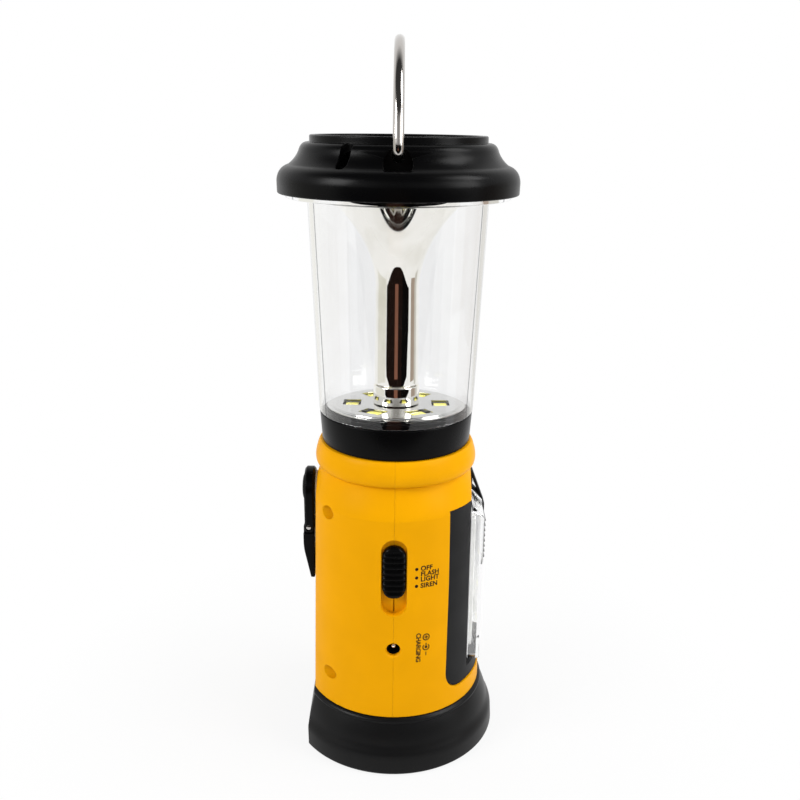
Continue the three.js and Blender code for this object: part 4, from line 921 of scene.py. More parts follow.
# the dark edge colour paints shade along the tube's outline and a dark line inside it
CLEAR_TUBE = Clear("clear_styrene_tube", "clear_plastic", edge=(0.12, 0.125, 0.135))
GEL = Phosphor("phosphor_gel", "led_yellow")
BOARD = Board("green_board", "board_green")
DARK_BOARD = Board("dark_board", "board_green", mask=(0.006, 0.008, 0.007), track=(0.012, 0.016, 0.013))


def mount(piece: Object, finish: Finish, body: str, *nodes: str) -> Object:
    """Gives a piece its finish and its body, and hides the CAD nodes that it stands for.

    Args:
        piece: the finished piece.
        finish: what it is made of.
        body: the CAD body that it moves with.
        nodes: the CAD nodes that it replaces.

    Returns:
        The piece.
    """
    piece.data.materials.clear()
    piece.data.materials.append(finish.material())
    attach(piece, body)
    if nodes:
        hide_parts(*nodes)
    LOG.info("%s rides on %s, %d faces", piece.name, body, len(piece.data.polygons))
    return piece


# Sub-assemblies


@dataclass
class Foot:
    """The flared black foot with the torch that shines out of its underside."""

    foot_radius: float = 39.3
    band_radius: float = 40.3
    band_high: float = 5.8
    slope: tuple[float, float] = (37.9, 12.2)
    crest: tuple[float, float] = (35.1, 19.1)
    shoulder: float = 34.2
    flat_heights: Sequence[float] = (0.0, 8.0, 11.8, 15.5, 19.1)
    flats: Sequence[float] = (32.8, 33.1, 32.6, 31.7, 30.95)
    lip_flat: float = 28.4
    lip_inner_flat: float = 27.9
    top: float = 21.1
    lip_radius: float = 31.9
    lip_inner: float = 30.2
    lip_top: float = 24.5
    seat: float = 20.0
    bore: float = 27.8
    recess: float = 2.0
    mouth: float = 26.2
    lens_radius: float = 27.5
    lens_low: float = 2.3
    lens_thick: float = 1.8
    bowl_low: float = 4.4
    bowl_high: float = 18.9
    bowl_neck: float = 5.4
    wall: float = 1.2
    chip_radius: float = 3.6
    chip_straight: float = 16.8
    chip_low: float = 14.8
    board_radius: float = 12.0
    board_low: float = 19.2
    board_high: float = 20.8

    def ring(self) -> Object:
        """The foot: its section turned once round, with the flat under the crank.

        The flat's distance follows the skin's height, and steps in for the two sides of the lip.
        """
        band = (self.band_radius - 0.3, self.band_high)
        outer = np.concatenate([
            eased([(self.mouth, self.recess, 0), (32.0, 0.0, 0.5), (self.foot_radius, 0.0, 0.3),
                   (self.band_radius, 0.9, 0.5), (*band, 0)]),
            bezier(band, (self.band_radius - 0.4, 8.8), (38.7, 9.2), self.slope, steps=14)[1:],
            bezier(self.slope, (37.0, 15.4), self.crest, steps=8)[1:],
            bezier(self.crest, (36.0, 20.1), (self.shoulder, self.top), steps=10)[1:],
        ])
        inner = np.array([(self.lip_radius, self.top), (self.lip_radius, self.lip_top),
                          (self.lip_inner, self.lip_top), (self.lip_inner, self.seat),
                          (self.bore, self.seat), (self.bore, self.recess)])
        profile = np.concatenate([outer, inner])
        radius, height = profile.T
        flat = np.interp(height, self.flat_heights, self.flats)
        flat[height > self.top + 0.01] = self.lip_flat
        flat[len(outer)] = self.lip_flat
        flat[(radius < self.lip_inner + 0.1) & (height > self.slope[1])] = self.lip_inner_flat
        flat[radius < self.bore + 0.1] = NO_FLAT
        return turned("foot_ring", profile, sides=220, flat=flat)

    def torch(self) -> list[tuple[Object, Finish, str]]:
        """The torch's pieces, each a section turned once round, with its finish and the node it replaces."""
        low, high = self.lens_low, self.lens_low + self.lens_thick
        lens = eased([(0, low, 0), (self.lens_radius, low, 0.3), (self.lens_radius, high, 0.3), (0, high, 0)])
        mouth, neck = self.lens_radius - 2 * self.wall, self.bowl_neck
        foot, top = self.bowl_low, self.bowl_high
        bowl = np.concatenate([
            [(mouth, foot), (self.lens_radius, foot), (self.lens_radius, foot + self.wall)],
            bezier((mouth + self.wall, foot + self.wall), (mouth - self.wall, top - self.wall),
                   (neck + self.wall, top), steps=20),
            bezier((neck, top), (mouth - 3 * self.wall, top - 2 * self.wall), (mouth, foot), steps=24),
        ])
        side = (self.chip_radius, self.chip_straight)
        dome = np.concatenate([[(0, top), (self.chip_radius, top)],
                               bezier(side, (self.chip_radius, self.chip_low), (0, self.chip_low))])
        board = np.array([(0, self.board_low), (self.board_radius, self.board_low),
                          (self.board_radius, self.board_high), (0, self.board_high)])
        return [(turned("torch_window", lens), CLEAR, "torch_lens"),
                (turned("torch_bowl", bowl), CHROME, "torch_reflector"),
                (turned("torch_chip", dome, sides=48), GEL, "torch_led"),
                (turned("torch_plate", board, sides=96), BOARD, "torch_board")]

    def build(self) -> None:
        """Makes the pieces and dresses them."""
        mount(self.ring(), BLACK, "lantern", "base_ring")
        for piece, finish, node in self.torch():
            mount(piece, finish, "lantern", node)


@dataclass
class Body:
    """The yellow body in two halves, with the recess for the slider and the opening for the side lamp."""

    foot: float = 21.4
    foot_radius: float = 34.2
    crease: float = 100.0
    crease_radius: float = 32.0
    neck_radius: float = 28.0
    bead: float = 111.6
    bead_radius: float = 30.1
    top: float = 121.0
    top_radius: float = 28.2
    wall: float = 2.0
    gap: float = FIT
    seam: float = 0.03
    left_flat: float = 30.7
    left_slope: float = 0.01459
    recess_half: float = 4.65
    recess_low: float = 63.3
    recess_high: float = 93.2
    recess_floor: float = -29.99
    jack: float = 49.5
    jack_radius: float = 2.6
    screw_seat: float = 9.5
    boss_radius: float = 3.9
    bore_radius: float = 2.5
    lamp_half: float = 54.0
    lamp_low: float = 28.4
    lamp_high: float = 101.0
    lamp_corner: float = 7.5
    lamp_taper: float = 1.8
    lamp_ledge: float = 28.3
    recess_wall: float = 1.6
    tub_front: float = -31.35
    slot_half: float = 1.6
    slot_low: float = 75.3
    slot_high: float = 85.0
    slot_depth: float = -20.0
    groove_half: float = 0.2
    groove_depth: float = 0.9
    bush_radius: float = 4.5
    backing: Place = (26.3, -14.0, 14.0)
    tab_half: float = 7.3
    sound_slots: int = 5
    sound_middle: float = 70.0
    sound_pitch: float = 3.6

    def radius_at(self, height: Array | float) -> Array | float:
        """The skin's radius below the crease: it falls evenly from the foot to the crease."""
        fall = (self.foot_radius - self.crease_radius) / (self.crease - self.foot)
        return self.foot_radius - fall * (height - self.foot)

    def skin(self, depth: float) -> tuple[Array, Array]:
        """The section of the skin, or of a surface under it, and the distance of its flat.

        Args:
            depth: how far under the skin, in millimetres.

        Returns:
            The profile from the foot up, and the flat's distance for each of its points.
        """
        tapered = np.linspace(self.foot, self.crease - 0.4, 26)
        low = np.column_stack([self.radius_at(tapered), tapered])
        shoulder = bezier((self.crease_radius, self.crease), (self.crease_radius - 0.8, self.crease + 4.0),
                          (self.neck_radius + 0.9, self.bead - 3.4), (self.neck_radius, self.bead), steps=18)
        if depth > 0:
            rise = np.array([(self.neck_radius, self.top)])
        else:
            full = self.bead_radius
            swell = bezier((self.neck_radius, self.bead), (full + 0.3, self.bead - 0.3),
                           (full + 0.5, self.bead + 3.4), (full - 0.5, self.bead + 6.4), steps=16)[1:]
            rise = np.concatenate([swell, bezier(swell[-1], (full - 1.1, self.top - 0.5),
                                                 (self.top_radius, self.top), steps=8)[1:]])
        profile = np.concatenate([low, shoulder, rise]) - [depth, 0]
        flat = self.left_flat - self.left_slope * (profile[:, 1] - self.foot) - depth
        flat[profile[:, 1] > self.bead - 0.35] = NO_FLAT
        return profile, flat

    def solid(self, name: str, depth: float, extra: float = 0.0) -> Object:
        """The body as a solid.

        Args:
            name: the piece's name.
            depth: how far under the skin its surface lies.
            extra: how much further it reaches at both ends.

        Returns:
            The closed mesh object.
        """
        profile, flat = self.skin(depth)
        ends = [[(0, self.foot - extra), (profile[0, 0], self.foot - extra)],
                [(profile[-1, 0], self.top + extra), (0, self.top + extra)]]
        if extra > 0:
            profile = np.concatenate([ends[0], profile, ends[1]])
            flat = np.concatenate([[NO_FLAT, flat[0]], flat, [NO_FLAT, NO_FLAT]])
        else:
            profile = np.concatenate([ends[0][:1], profile, ends[1][1:]])
            flat = np.concatenate([[NO_FLAT], flat, [NO_FLAT]])
        return turned(name, profile, sides=224, flat=flat)

    def lamp_half_turn(self, heights: Array, clearance: float) -> Array:
        """Half the angle of the side lamp's opening: it tapers upwards and is drawn in round its corners.

        Args:
            heights: Z of each row.
            clearance: how much larger than the lamp the opening is on every side.

        Returns:
            The half angle at each height, in radians.
        """
        share = (heights - self.lamp_low) / (self.lamp_high - self.lamp_low)
        reach = self.foot_radius * math.radians(self.lamp_half) + clearance - self.lamp_taper * share
        corner = self.lamp_corner + clearance
        left = np.clip(corner - (heights - self.lamp_low + clearance), 0, corner)
        return (reach - corner + np.sqrt(corner**2 - left**2)) / self.foot_radius

    def lamp_tool(self) -> Object:
        """The block that cuts the side lamp's opening."""
        start = self.lamp_low - self.gap
        rise = (1 - np.cos(np.linspace(0, math.pi / 2, 9))) * (self.lamp_corner + self.gap)
        heights = np.concatenate([start + rise, [self.lamp_high + self.gap]])
        shares = np.broadcast_to(np.linspace(-1, 1, 41), (len(heights), 41))
        ones = np.ones(shares.shape)
        half = self.lamp_half_turn(heights, self.gap)
        return sector("lamp_tool", heights, half, 18.0 * ones, 44.0 * ones, shares)

    def screws(self) -> list[tuple[float, float]]:
        """Where the four screws are, as (Y, Z)."""
        return [(-20.5, 98.5), (-23.5, 33.6), (20.5, 98.5), (23.5, 33.6)]

    def hollow(self) -> Object:
        """The room inside, less the tub behind the recess, the screws' bosses and the ledge's backing."""
        room = self.solid("body_hollow", self.wall, extra=3.0)
        wall = self.recess_wall
        tub = slab("tub", stadium(self.recess_half + wall, self.recess_low - wall, self.recess_high + wall),
                   self.tub_front, self.recess_floor + wall, 0.0, Axis.Y)
        bosses = [rod(f"boss_{i}", self.boss_radius, -40, self.screw_seat, Axis.X, (0, y, z), sides=40)
                  for i, (y, z) in enumerate(self.screws())]
        near, left, right = self.backing
        backing = block("ledge_backing", (near, left, self.lamp_high), (BEYOND, right, self.bead))
        worked(room, Cut.TAKE, tub, *bosses)
        return worked(room, Cut.TAKE, backing)

    def front_tools(self) -> tuple[list[Object], Object, Object]:
        """The tools of the recess with the jack's hole, and of the slot and groove in the recess's floor."""
        floor = self.recess_floor
        pocket = slab("pocket", stadium(self.recess_half, self.recess_low, self.recess_high), -BEYOND, floor,
                      0.0, Axis.Y)
        slot = block("stem_slot", (-self.slot_half, floor - 0.5, self.slot_low),
                     (self.slot_half, self.slot_depth, self.slot_high))
        groove = block("floor_groove", (-self.groove_half, floor - 0.5, self.recess_low + 0.3),
                       (self.groove_half, floor + self.groove_depth, self.slot_low + 0.7))
        funnel = [(0, -BEYOND), (6.4, -BEYOND), (3.1, -33.5), (self.jack_radius, -32.9),
                  (self.jack_radius, self.slot_depth), (0, self.slot_depth)]
        return [pocket, turned("jack_hole", np.array(funnel), 64, Axis.Y, (0, 0, self.jack))], slot, groove

    def whole(self) -> Object:
        """Both halves before they are parted: skin less hollow, less every opening."""
        outer = self.solid("body_whole", 0.0)
        worked(outer, Cut.TAKE, self.hollow())
        front, slot, groove = self.front_tools()
        bores = [rod(f"bore_{i}", self.bore_radius, -BEYOND, -self.screw_seat, Axis.X, (0, y, z), sides=40)
                 for i, (y, z) in enumerate(self.screws())]
        bush = rod("bush_hole", self.bush_radius, -BEYOND, -23, Axis.X, (0, 0, CRANK_AXIS))
        ledge = block("ledge", (self.lamp_ledge, -40, self.lamp_high - 0.05), (BEYOND, 40, self.bead - 0.1))
        tab = block("tab_hole", (20.0, -self.tab_half, self.lamp_high - 3), (40, self.tab_half, 102.9))
        outline = box_outline(-6.5, 6.5, -0.75, 0.75, 0.7)
        slots = [slab(f"sound_{i}", outline, 26, BEYOND, 0.0, Axis.Y,
                      (0, 0, self.sound_middle + self.sound_pitch * (i - self.sound_slots // 2)))
                 for i in range(self.sound_slots)]
        for tools in ([*front, *bores, bush, *slots], [self.lamp_tool()], [ledge], [groove], [slot, tab]):
            worked(outer, Cut.TAKE, *tools)
        return outer

    def build(self) -> None:
        """Parts the whole at the seam, and sets the screws into their bores."""
        whole = self.whole()
        twin = copied(whole, "right_half")
        half_seam, over = self.seam / 2, self.top + 19
        left = worked(whole, Cut.KEEP, block("left_room", (-BEYOND, -BEYOND, 0), (-half_seam, BEYOND, over)))
        left.name = "left_half"
        right = worked(twin, Cut.KEEP, block("right_room", (half_seam, -BEYOND, 0), (BEYOND, BEYOND, over)))
        mount(left, YELLOW, "lantern", "left_shell")
        mount(right, YELLOW, "lantern", "right_shell")
        for i, (y, z) in enumerate(self.screws()):
            seat = -self.screw_seat - self.gap
            head = np.concatenate([[(0, -2.0)], bezier((0.4, -2.0), (2.0, -2.0), (2.2, -0.9)),
                                   [(2.2, 0), (1.2, 0), (1.2, 12.0), (0.3, 13.0), (0, 13.0)]])
            screw = turned(f"cross_screw_{i + 1}", head, 40, Axis.X, (seat, y, z))
            cross = [block(f"cross_{i}_{k}", (seat - 3, y - a, z - b), (seat - 1.0, y + a, z + b))
                     for k, (a, b) in enumerate(((1.3, 0.28), (0.28, 1.3)))]
            for arm in cross:
                worked(screw, Cut.TAKE, arm)
            mount(screw, STEEL, "lantern", f"shell_screw_{i + 1}")


@dataclass
class Front:
    """What faces the user: the ribbed slider, the charging jack and the printed words."""

    body: Body
    knob_half: float = 4.3
    knob_low: float = 69.8
    knob_high: float = 90.5
    knob_face: float = -33.0
    knob_back: float = -30.3
    rib_pitch: float = 2.25
    rib_depth: float = 1.0
    pin_radius: float = 1.1
    pin_front: float = -30.8
    pin_back: float = -22.7
    ink_lift: float = 0.03
    letter: float = 1.83
    small_letter: float = 1.75
    words_left: float = 9.7
    spots_left: float = 8.2
    spot_radius: float = 0.62
    marks_left: float = 12.3
    ring_radius: float = 1.4
    stroke: float = 0.4

    def knob(self) -> Object:
        """The slider: rounded sections stacked along a stadium, with a wave of ribs on its face.

        At each height the section is a flattened ellipse as wide as the stadium there. Its depth falls
        off at both ends, and a raised cosine, sharpened by a power, makes the ribs.
        """
        middle, half_height = (self.knob_low + self.knob_high) / 2, (self.knob_high - self.knob_low) / 2
        rise = half_height * np.sin(np.linspace(-math.pi / 2, math.pi / 2, 181))
        end = np.clip(np.abs(rise) - (half_height - self.knob_half), 0, self.knob_half)
        width = np.sqrt(np.maximum(self.knob_half**2 - end**2, 0))
        rib = np.maximum(0.5 + 0.5 * np.cos(2 * math.pi * rise / self.rib_pitch), 0) ** 0.7
        ribbed = np.clip((half_height - 1.6 - np.abs(rise)) / 1.2, 0, 1)
        fall = np.clip(np.abs(rise) / half_height, 0, 1) ** 14 * 0.5
        depth = (self.knob_back - self.knob_face) * (1 - fall)
        depth = depth - self.rib_depth * (1 - rib) * ribbed
        turn = np.linspace(0, math.pi, 41)
        across = width[:, None] * (np.sign(np.cos(turn)) * np.abs(np.cos(turn)) ** 0.5)[None]
        out = self.knob_back - depth[:, None] * (np.abs(np.sin(turn)) ** 0.45)[None]
        front = np.stack([across, out, (middle + rise)[:, None] + 0 * across], axis=-1)
        stem = block("stem", (-1.3, -30.6, 81.75), (1.3, -24.9, 84.75), 0.2)
        return joined("slider_grip", [lofted("knob", front), stem])

    def jack(self) -> tuple[Object, Object]:
        """The charging jack's block with its bore, and the bright pin inside it."""
        low, high = self.body.jack - 5.5, self.body.jack + 5.5
        socket = block("jack_block", (-4.5, -30.7, low), (4.5, -20.6, high), 0.3)
        bore = rod("jack_bore", self.body.jack_radius, -40, -22.9, Axis.Y, (0, 0, self.body.jack))
        radius, front, back = self.pin_radius, self.pin_front, self.pin_back
        dome = np.concatenate([bezier((0, front), (radius, front), (radius, front + 1.0)),
                               [(radius, back), (0, back)]])
        pin = turned("jack_pin", dome, 40, Axis.Y, (0, 0, self.body.jack))
        return worked(socket, Cut.TAKE, bore), pin

    def wrapped(self, name: str, flat: Array, faces: list[list[int]]) -> Object:
        """Ink laid round the skin: across becomes arc length from the front, up stays height.

        Args:
            name: the piece's name.
            flat: rows of (across, up).
            faces: corner numbers of each face.

        Returns:
            The ink as a mesh on the skin.
        """
        radius = self.body.radius_at(flat[:, 1]) + self.ink_lift
        turn = flat[:, 0] / radius
        points = np.stack([radius * np.sin(turn), -radius * np.cos(turn), flat[:, 1]], axis=-1)
        return make(name, points, faces, solid=False)

    def word(self, text: str, size: float, left: float, foot: float, upright: bool,
             spread: float = 1.0) -> Object:
        """A printed word.

        Args:
            text: its letters.
            size: their height, in millimetres.
            left: arc length from the front to where it starts.
            foot: Z of its foot, or of its first letter where it reads downwards.
            upright: whether it reads to the right; otherwise it reads downwards.
            spread: how far apart its letters stand, as a share of the usual.

        Returns:
            The ink as a mesh on the skin.
        """
        curve = bpy.data.curves.new(text, "FONT")
        curve.body, curve.size = text, size * 1.38
        curve.offset = size * 0.045
        curve.space_character = spread
        holder = linked(text, curve)
        bpy.context.view_layer.update()
        mesh = bpy.data.meshes.new_from_object(holder)
        bpy.data.objects.remove(holder)
        points = np.empty(len(mesh.vertices) * 3)
        mesh.vertices.foreach_get("co", points)
        points = points.reshape(-1, 3)
        faces = [list(face.vertices) for face in mesh.polygons]
        bpy.data.meshes.remove(mesh)
        if upright:
            flat = np.stack([left + points[:, 0], foot + points[:, 1]], axis=-1)
        else:
            flat = np.stack([left + points[:, 1], foot - points[:, 0]], axis=-1)
        return self.wrapped("ink_" + text.lower(), flat, faces)

    def ring_mark(self, name: str, centre: Sequence[float], radius: float, stroke: float, start: float,
                  stop: float) -> Object:
        """An arc of ink: a strip between two radii.

        Args:
            name: the piece's name.
            centre: its middle, as (across, up).
            radius: its outer radius.
            stroke: how wide the strip is.
            start: where it starts, in degrees.
            stop: where it ends.

        Returns:
            The ink as a mesh on the skin.
        """
        turn = np.linspace(math.radians(start), math.radians(stop), 41)
        rims = [np.stack([centre[0] + r * np.cos(turn), centre[1] + r * np.sin(turn)], -1)
                for r in (radius - stroke, radius)]
        return self.wrapped(name, np.concatenate(rims), grid_faces(2, 41, False, False).tolist())

    def bar_mark(self, name: str, centre: Sequence[float], half: Sequence[float]) -> Object:
        """A straight stroke of ink."""
        corners = np.array([(-1, -1), (1, -1), (1, 1), (-1, 1)]) * np.asarray(half) + np.asarray(centre)
        return self.wrapped(name, corners, [[0, 1, 2, 3]])

    def spot(self, name: str, centre: Sequence[float], radius: float) -> Object:
        """A round spot of ink."""
        outline = circle(radius, centre, 32)
        return self.wrapped(name, outline, [list(range(32))])

    def prints(self) -> Object:
        """The words and marks beside the slider and the jack, as one piece."""
        marks = [self.spot(f"spot_{i}", (self.spots_left, height), self.spot_radius)
                 for i, height in enumerate((81.6, 78.25, 74.95))]
        for text, height in (("OFF", 80.9), ("FLASH", 78.75), ("LIGHT", 76.65), ("SIREN", 74.15)):
            marks.append(self.word(text, self.letter, self.words_left, height, True, 1.04))
        marks.append(self.word("CHARGING", self.small_letter, 8.5, 55.9, False, 0.92))
        plus, socket = (self.marks_left, 53.9), (self.marks_left, 49.8)
        marks.append(self.ring_mark("plus_ring", plus, self.ring_radius, self.stroke, 0, 360))
        marks.append(self.bar_mark("plus_bar", plus, (0.7, 0.2)))
        marks.append(self.bar_mark("plus_post", plus, (0.2, 0.7)))
        marks.append(self.ring_mark("socket_ring", socket, self.ring_radius, self.stroke, 130, 410))
        marks.append(self.spot("socket_spot", socket, 0.55))
        marks.append(self.bar_mark("socket_post", (socket[0], socket[1] + 0.9), (0.2, 0.8)))
        marks.append(self.bar_mark("minus_bar", (socket[0], socket[1] - 2.7), (0.17, 0.75)))
        return joined("printed_words", marks)

    def build(self) -> None:
        """Makes the pieces and dresses them."""
        mount(self.knob(), GLOSS_BLACK, "slider", "slider_knob")
        socket, pin = self.jack()
        mount(socket, MATT_BLACK, "lantern", "dc_jack")
        mount(pin, CHROME, "lantern")
        mount(self.prints(), INK, "lantern")


@dataclass
class SideLamp:
    """The side lamp: black panel with a strap eye, clear box lens, ribbed strip and white reflector."""

    body: Body
    sink: float = 0.4
    shelf: float = 33.3
    wall: float = 2.0
    window_half: float = 13.2
    window_low: float = 38.4
    window_high: float = 95.4
    tray_back: float = 24.6
    tray_front: float = 30.4
    lens_half: float = 15.8
    lens_low: float = 33.6
    lens_high: float = 100.4
    lens_front_high: float = 94.8
    lens_back: float = 28.6
    lens_front: float = 33.4
    lens_wall: float = 1.5
    strip_half: float = 4.5
    strip_low: float = 72.4
    strip_high: float = 89.8
    strip_ribs: int = 8
    rib: float = 1.5
    cups: Sequence[float] = (45.9, 59.9, 73.9, 87.9)
    chip_half: float = 1.7
    gel_radius: float = 1.35

    @property
    def plate(self) -> float:
        """The distance of the panel's flat front from the axis."""
        return self.body.lamp_ledge

    def framed(self, depth: float, corner: float) -> Array:
        """The window's outline, moved in by the depth."""
        return box_outline(-self.window_half + depth, self.window_half - depth, self.window_low + depth,
                           self.window_high - depth, corner)

    def panel(self) -> Object:
        """The panel: a wall just under the skin that is cut flat in front above its shelf."""
        body = self.body
        start = body.lamp_low
        rise = start + (1 - np.cos(np.linspace(0, math.pi / 2, 13))) * body.lamp_corner
        low, high = rise[rise < self.shelf - 0.1], rise[rise > self.shelf + 0.1]
        sides = np.linspace(high[-1], body.lamp_high, 12)[1:]
        heights = np.concatenate([low, [self.shelf, self.shelf], high, sides])
        half = body.lamp_half_turn(heights, 0.0)
        skin = body.radius_at(heights) - self.sink
        fold = np.arccos(self.plate / skin) / half
        inner_side = fold[:, None] * np.linspace(0, 1, 17)[None, :-1]
        outer_side = fold[:, None] + (1 - fold[:, None]) * np.linspace(0, 1, 25)[None]
        right = np.concatenate([inner_side, outer_side], axis=1)
        shares = np.concatenate([-right[:, :0:-1], right], axis=1)
        turn = half[:, None] * shares
        cut_flat = np.arange(len(heights))[:, None] > len(low)
        outer = np.where(cut_flat, np.minimum(skin[:, None], self.plate / np.cos(turn)), skin[:, None])
        behind = (self.plate - self.wall) / np.cos(turn)
        inner = np.minimum(skin[:, None] - self.wall, np.where(cut_flat, behind, NO_FLAT))
        wall = sector("lamp_panel", heights, half, inner, outer, shares)
        worked(wall, Cut.TAKE, slab("window", self.framed(0.0, 3.0), 10, BEYOND, 0.0, Axis.X))
        tab = block("tab", (self.plate - 2, -7, body.lamp_high - 2.2), (self.plate, 7, 102.6))
        return worked(wall, Cut.ADD, tab)

    def eye(self) -> Object:
        """The strap eye: a three-cornered frame on edge, its rims rounded, with the opening cut through."""
        frame_line = eased([(27.6, 101.2, 0.3), (28.9, 101.2, 0.3), (33.7, 96.0, 0.3), (33.7, 92.0, 0.2),
                            (34.2, 92.0, 0.2), (34.2, 95.0, 0.3), (29.3, 108.2, 0.4), (28.0, 108.2, 0.3)],
                           closed=True)
        opening = eased([(29.3, 101.6, 0.2), (31.9, 98.8, 0.2), (29.3, 105.3, 0.2)], closed=True)
        eye = slab("strap_eye", frame_line, -2.5, 2.5, 0.1, Axis.Y)
        return worked(eye, Cut.TAKE, slab("eye_hole", opening, -9, 9, 0.0, Axis.Y))

    def lens_box(self, name: str, depth: float, back: float, front: float, edge: float) -> Object:
        """A box with round lower corners whose top leans back.

        Heights are scaled from the foot so that the top falls evenly from the back to the front.

        Args:
            name: the piece's name.
            depth: how far its sides lie inside the lens's own.
            back: where it starts along X.
            front: where it ends.
            edge: the radius of its rims.

        Returns:
            The closed mesh object.
        """
        low, high = self.lens_low + depth, self.lens_high - depth
        half, corner = self.lens_half - depth, 4.0 - depth
        outline = eased([(-half, low, corner), (half, low, corner), (half, high, 0.6), (-half, high, 0.6)],
                        steps=8, closed=True)
        box = slab(name, outline, back, front, edge, Axis.X)
        points = np.empty(len(box.data.vertices) * 3)
        box.data.vertices.foreach_get("co", points)
        points = points.reshape(-1, 3)
        lean = (self.lens_high - self.lens_front_high) / (self.lens_front - self.lens_back) * MM
        drop = np.clip(points[:, 0] - self.lens_back * MM, 0, None) / MM * lean
        foot, span = self.lens_low * MM, (self.lens_high - self.lens_low) * MM
        points[:, 2] = foot + (points[:, 2] - foot) * (span - drop) / span
        box.data.vertices.foreach_set("co", points.ravel())
        box.data.update()
        return box

    def lens(self) -> Object:
        """The clear cover: a box less its hollow and the seat of the strip."""
        outer = self.lens_box("box_lens", 0.0, self.lens_back, self.lens_front, 0.5)
        wall = self.lens_wall
        hollow = self.lens_box("lens_hollow", wall, self.lens_back - 3, self.lens_front - wall, 0.0)
        worked(outer, Cut.TAKE, hollow)
        seat = block("strip_seat", (self.lens_front - 0.8, -self.strip_half - 0.2, self.strip_low - 0.2),
                     (self.lens_front + 3, self.strip_half + 0.2, self.strip_high + 0.2))
        return worked(outer, Cut.TAKE, seat)

    def strip(self) -> Object:
        """The finger strip: its face is a wave of ribs, extruded across."""
        pitch = (self.strip_high - self.strip_low) / self.strip_ribs
        rise = np.linspace(self.strip_low, self.strip_high, 12 * self.strip_ribs + 1)
        wave = self.rib * (0.5 - 0.5 * np.cos(2 * math.pi * (rise - self.strip_low) / pitch)) ** 0.6
        face = np.column_stack([self.lens_front + wave, rise])
        back = np.array([(self.lens_front - 0.5, self.strip_high), (self.lens_front - 0.5, self.strip_low)])
        section = np.concatenate([face, back])
        return slab("finger_strip", section, -self.strip_half, self.strip_half, 0.0, Axis.Y)

    def reflector(self) -> Object:
        """The tray behind the lens with a cone for each light."""
        tray = slab("lamp_tray", self.framed(FIT, 3.0 - FIT), self.tray_back, self.tray_front, 0.4, Axis.X)
        outline = box_outline(-self.lens_half + 1.8, self.lens_half - 1.8, self.lens_low + 1.8,
                              self.lens_front_high, 2.2)
        worked(tray, Cut.ADD, slab("lamp_brim", outline, self.plate + 0.1, self.plate + 0.8, 0.0, Axis.X))
        cone = np.array([(0, 20), (3.0, 20), (3.0, 24.9), (6.2, 30.45), (6.2, 34), (0, 34)])
        return worked(tray, Cut.TAKE, *[turned(f"cup_{i}", cone, 64, Axis.X, (0, 0, rise))
                                        for i, rise in enumerate(self.cups)])

    def build(self) -> None:
        """Makes the pieces and dresses them."""
        mount(self.panel(), MATT_BLACK, "lantern", "side_bezel")
        mount(self.eye(), MATT_BLACK, "lantern")
        mount(self.lens(), CLEAR, "lantern", "side_lens")
        mount(self.strip(), MATT_BLACK, "lantern", "side_grip_strip")
        mount(self.reflector(), WHITE, "lantern", "side_reflector")
        back, half = self.tray_back, self.chip_half
        for i, rise in enumerate(self.cups, start=1):
            low, high = (back, -half, rise - half), (back + 1.0, half, rise + half)
            mount(block(f"side_chip_{i}", low, high, 0.15), WHITE, "lantern", f"side_led_{i}")
            gel = rod(f"side_gel_{i}", self.gel_radius, 25.55, 25.75, Axis.X, (0, 0, rise), 0.08, 32)
            mount(gel, GEL, "lantern")


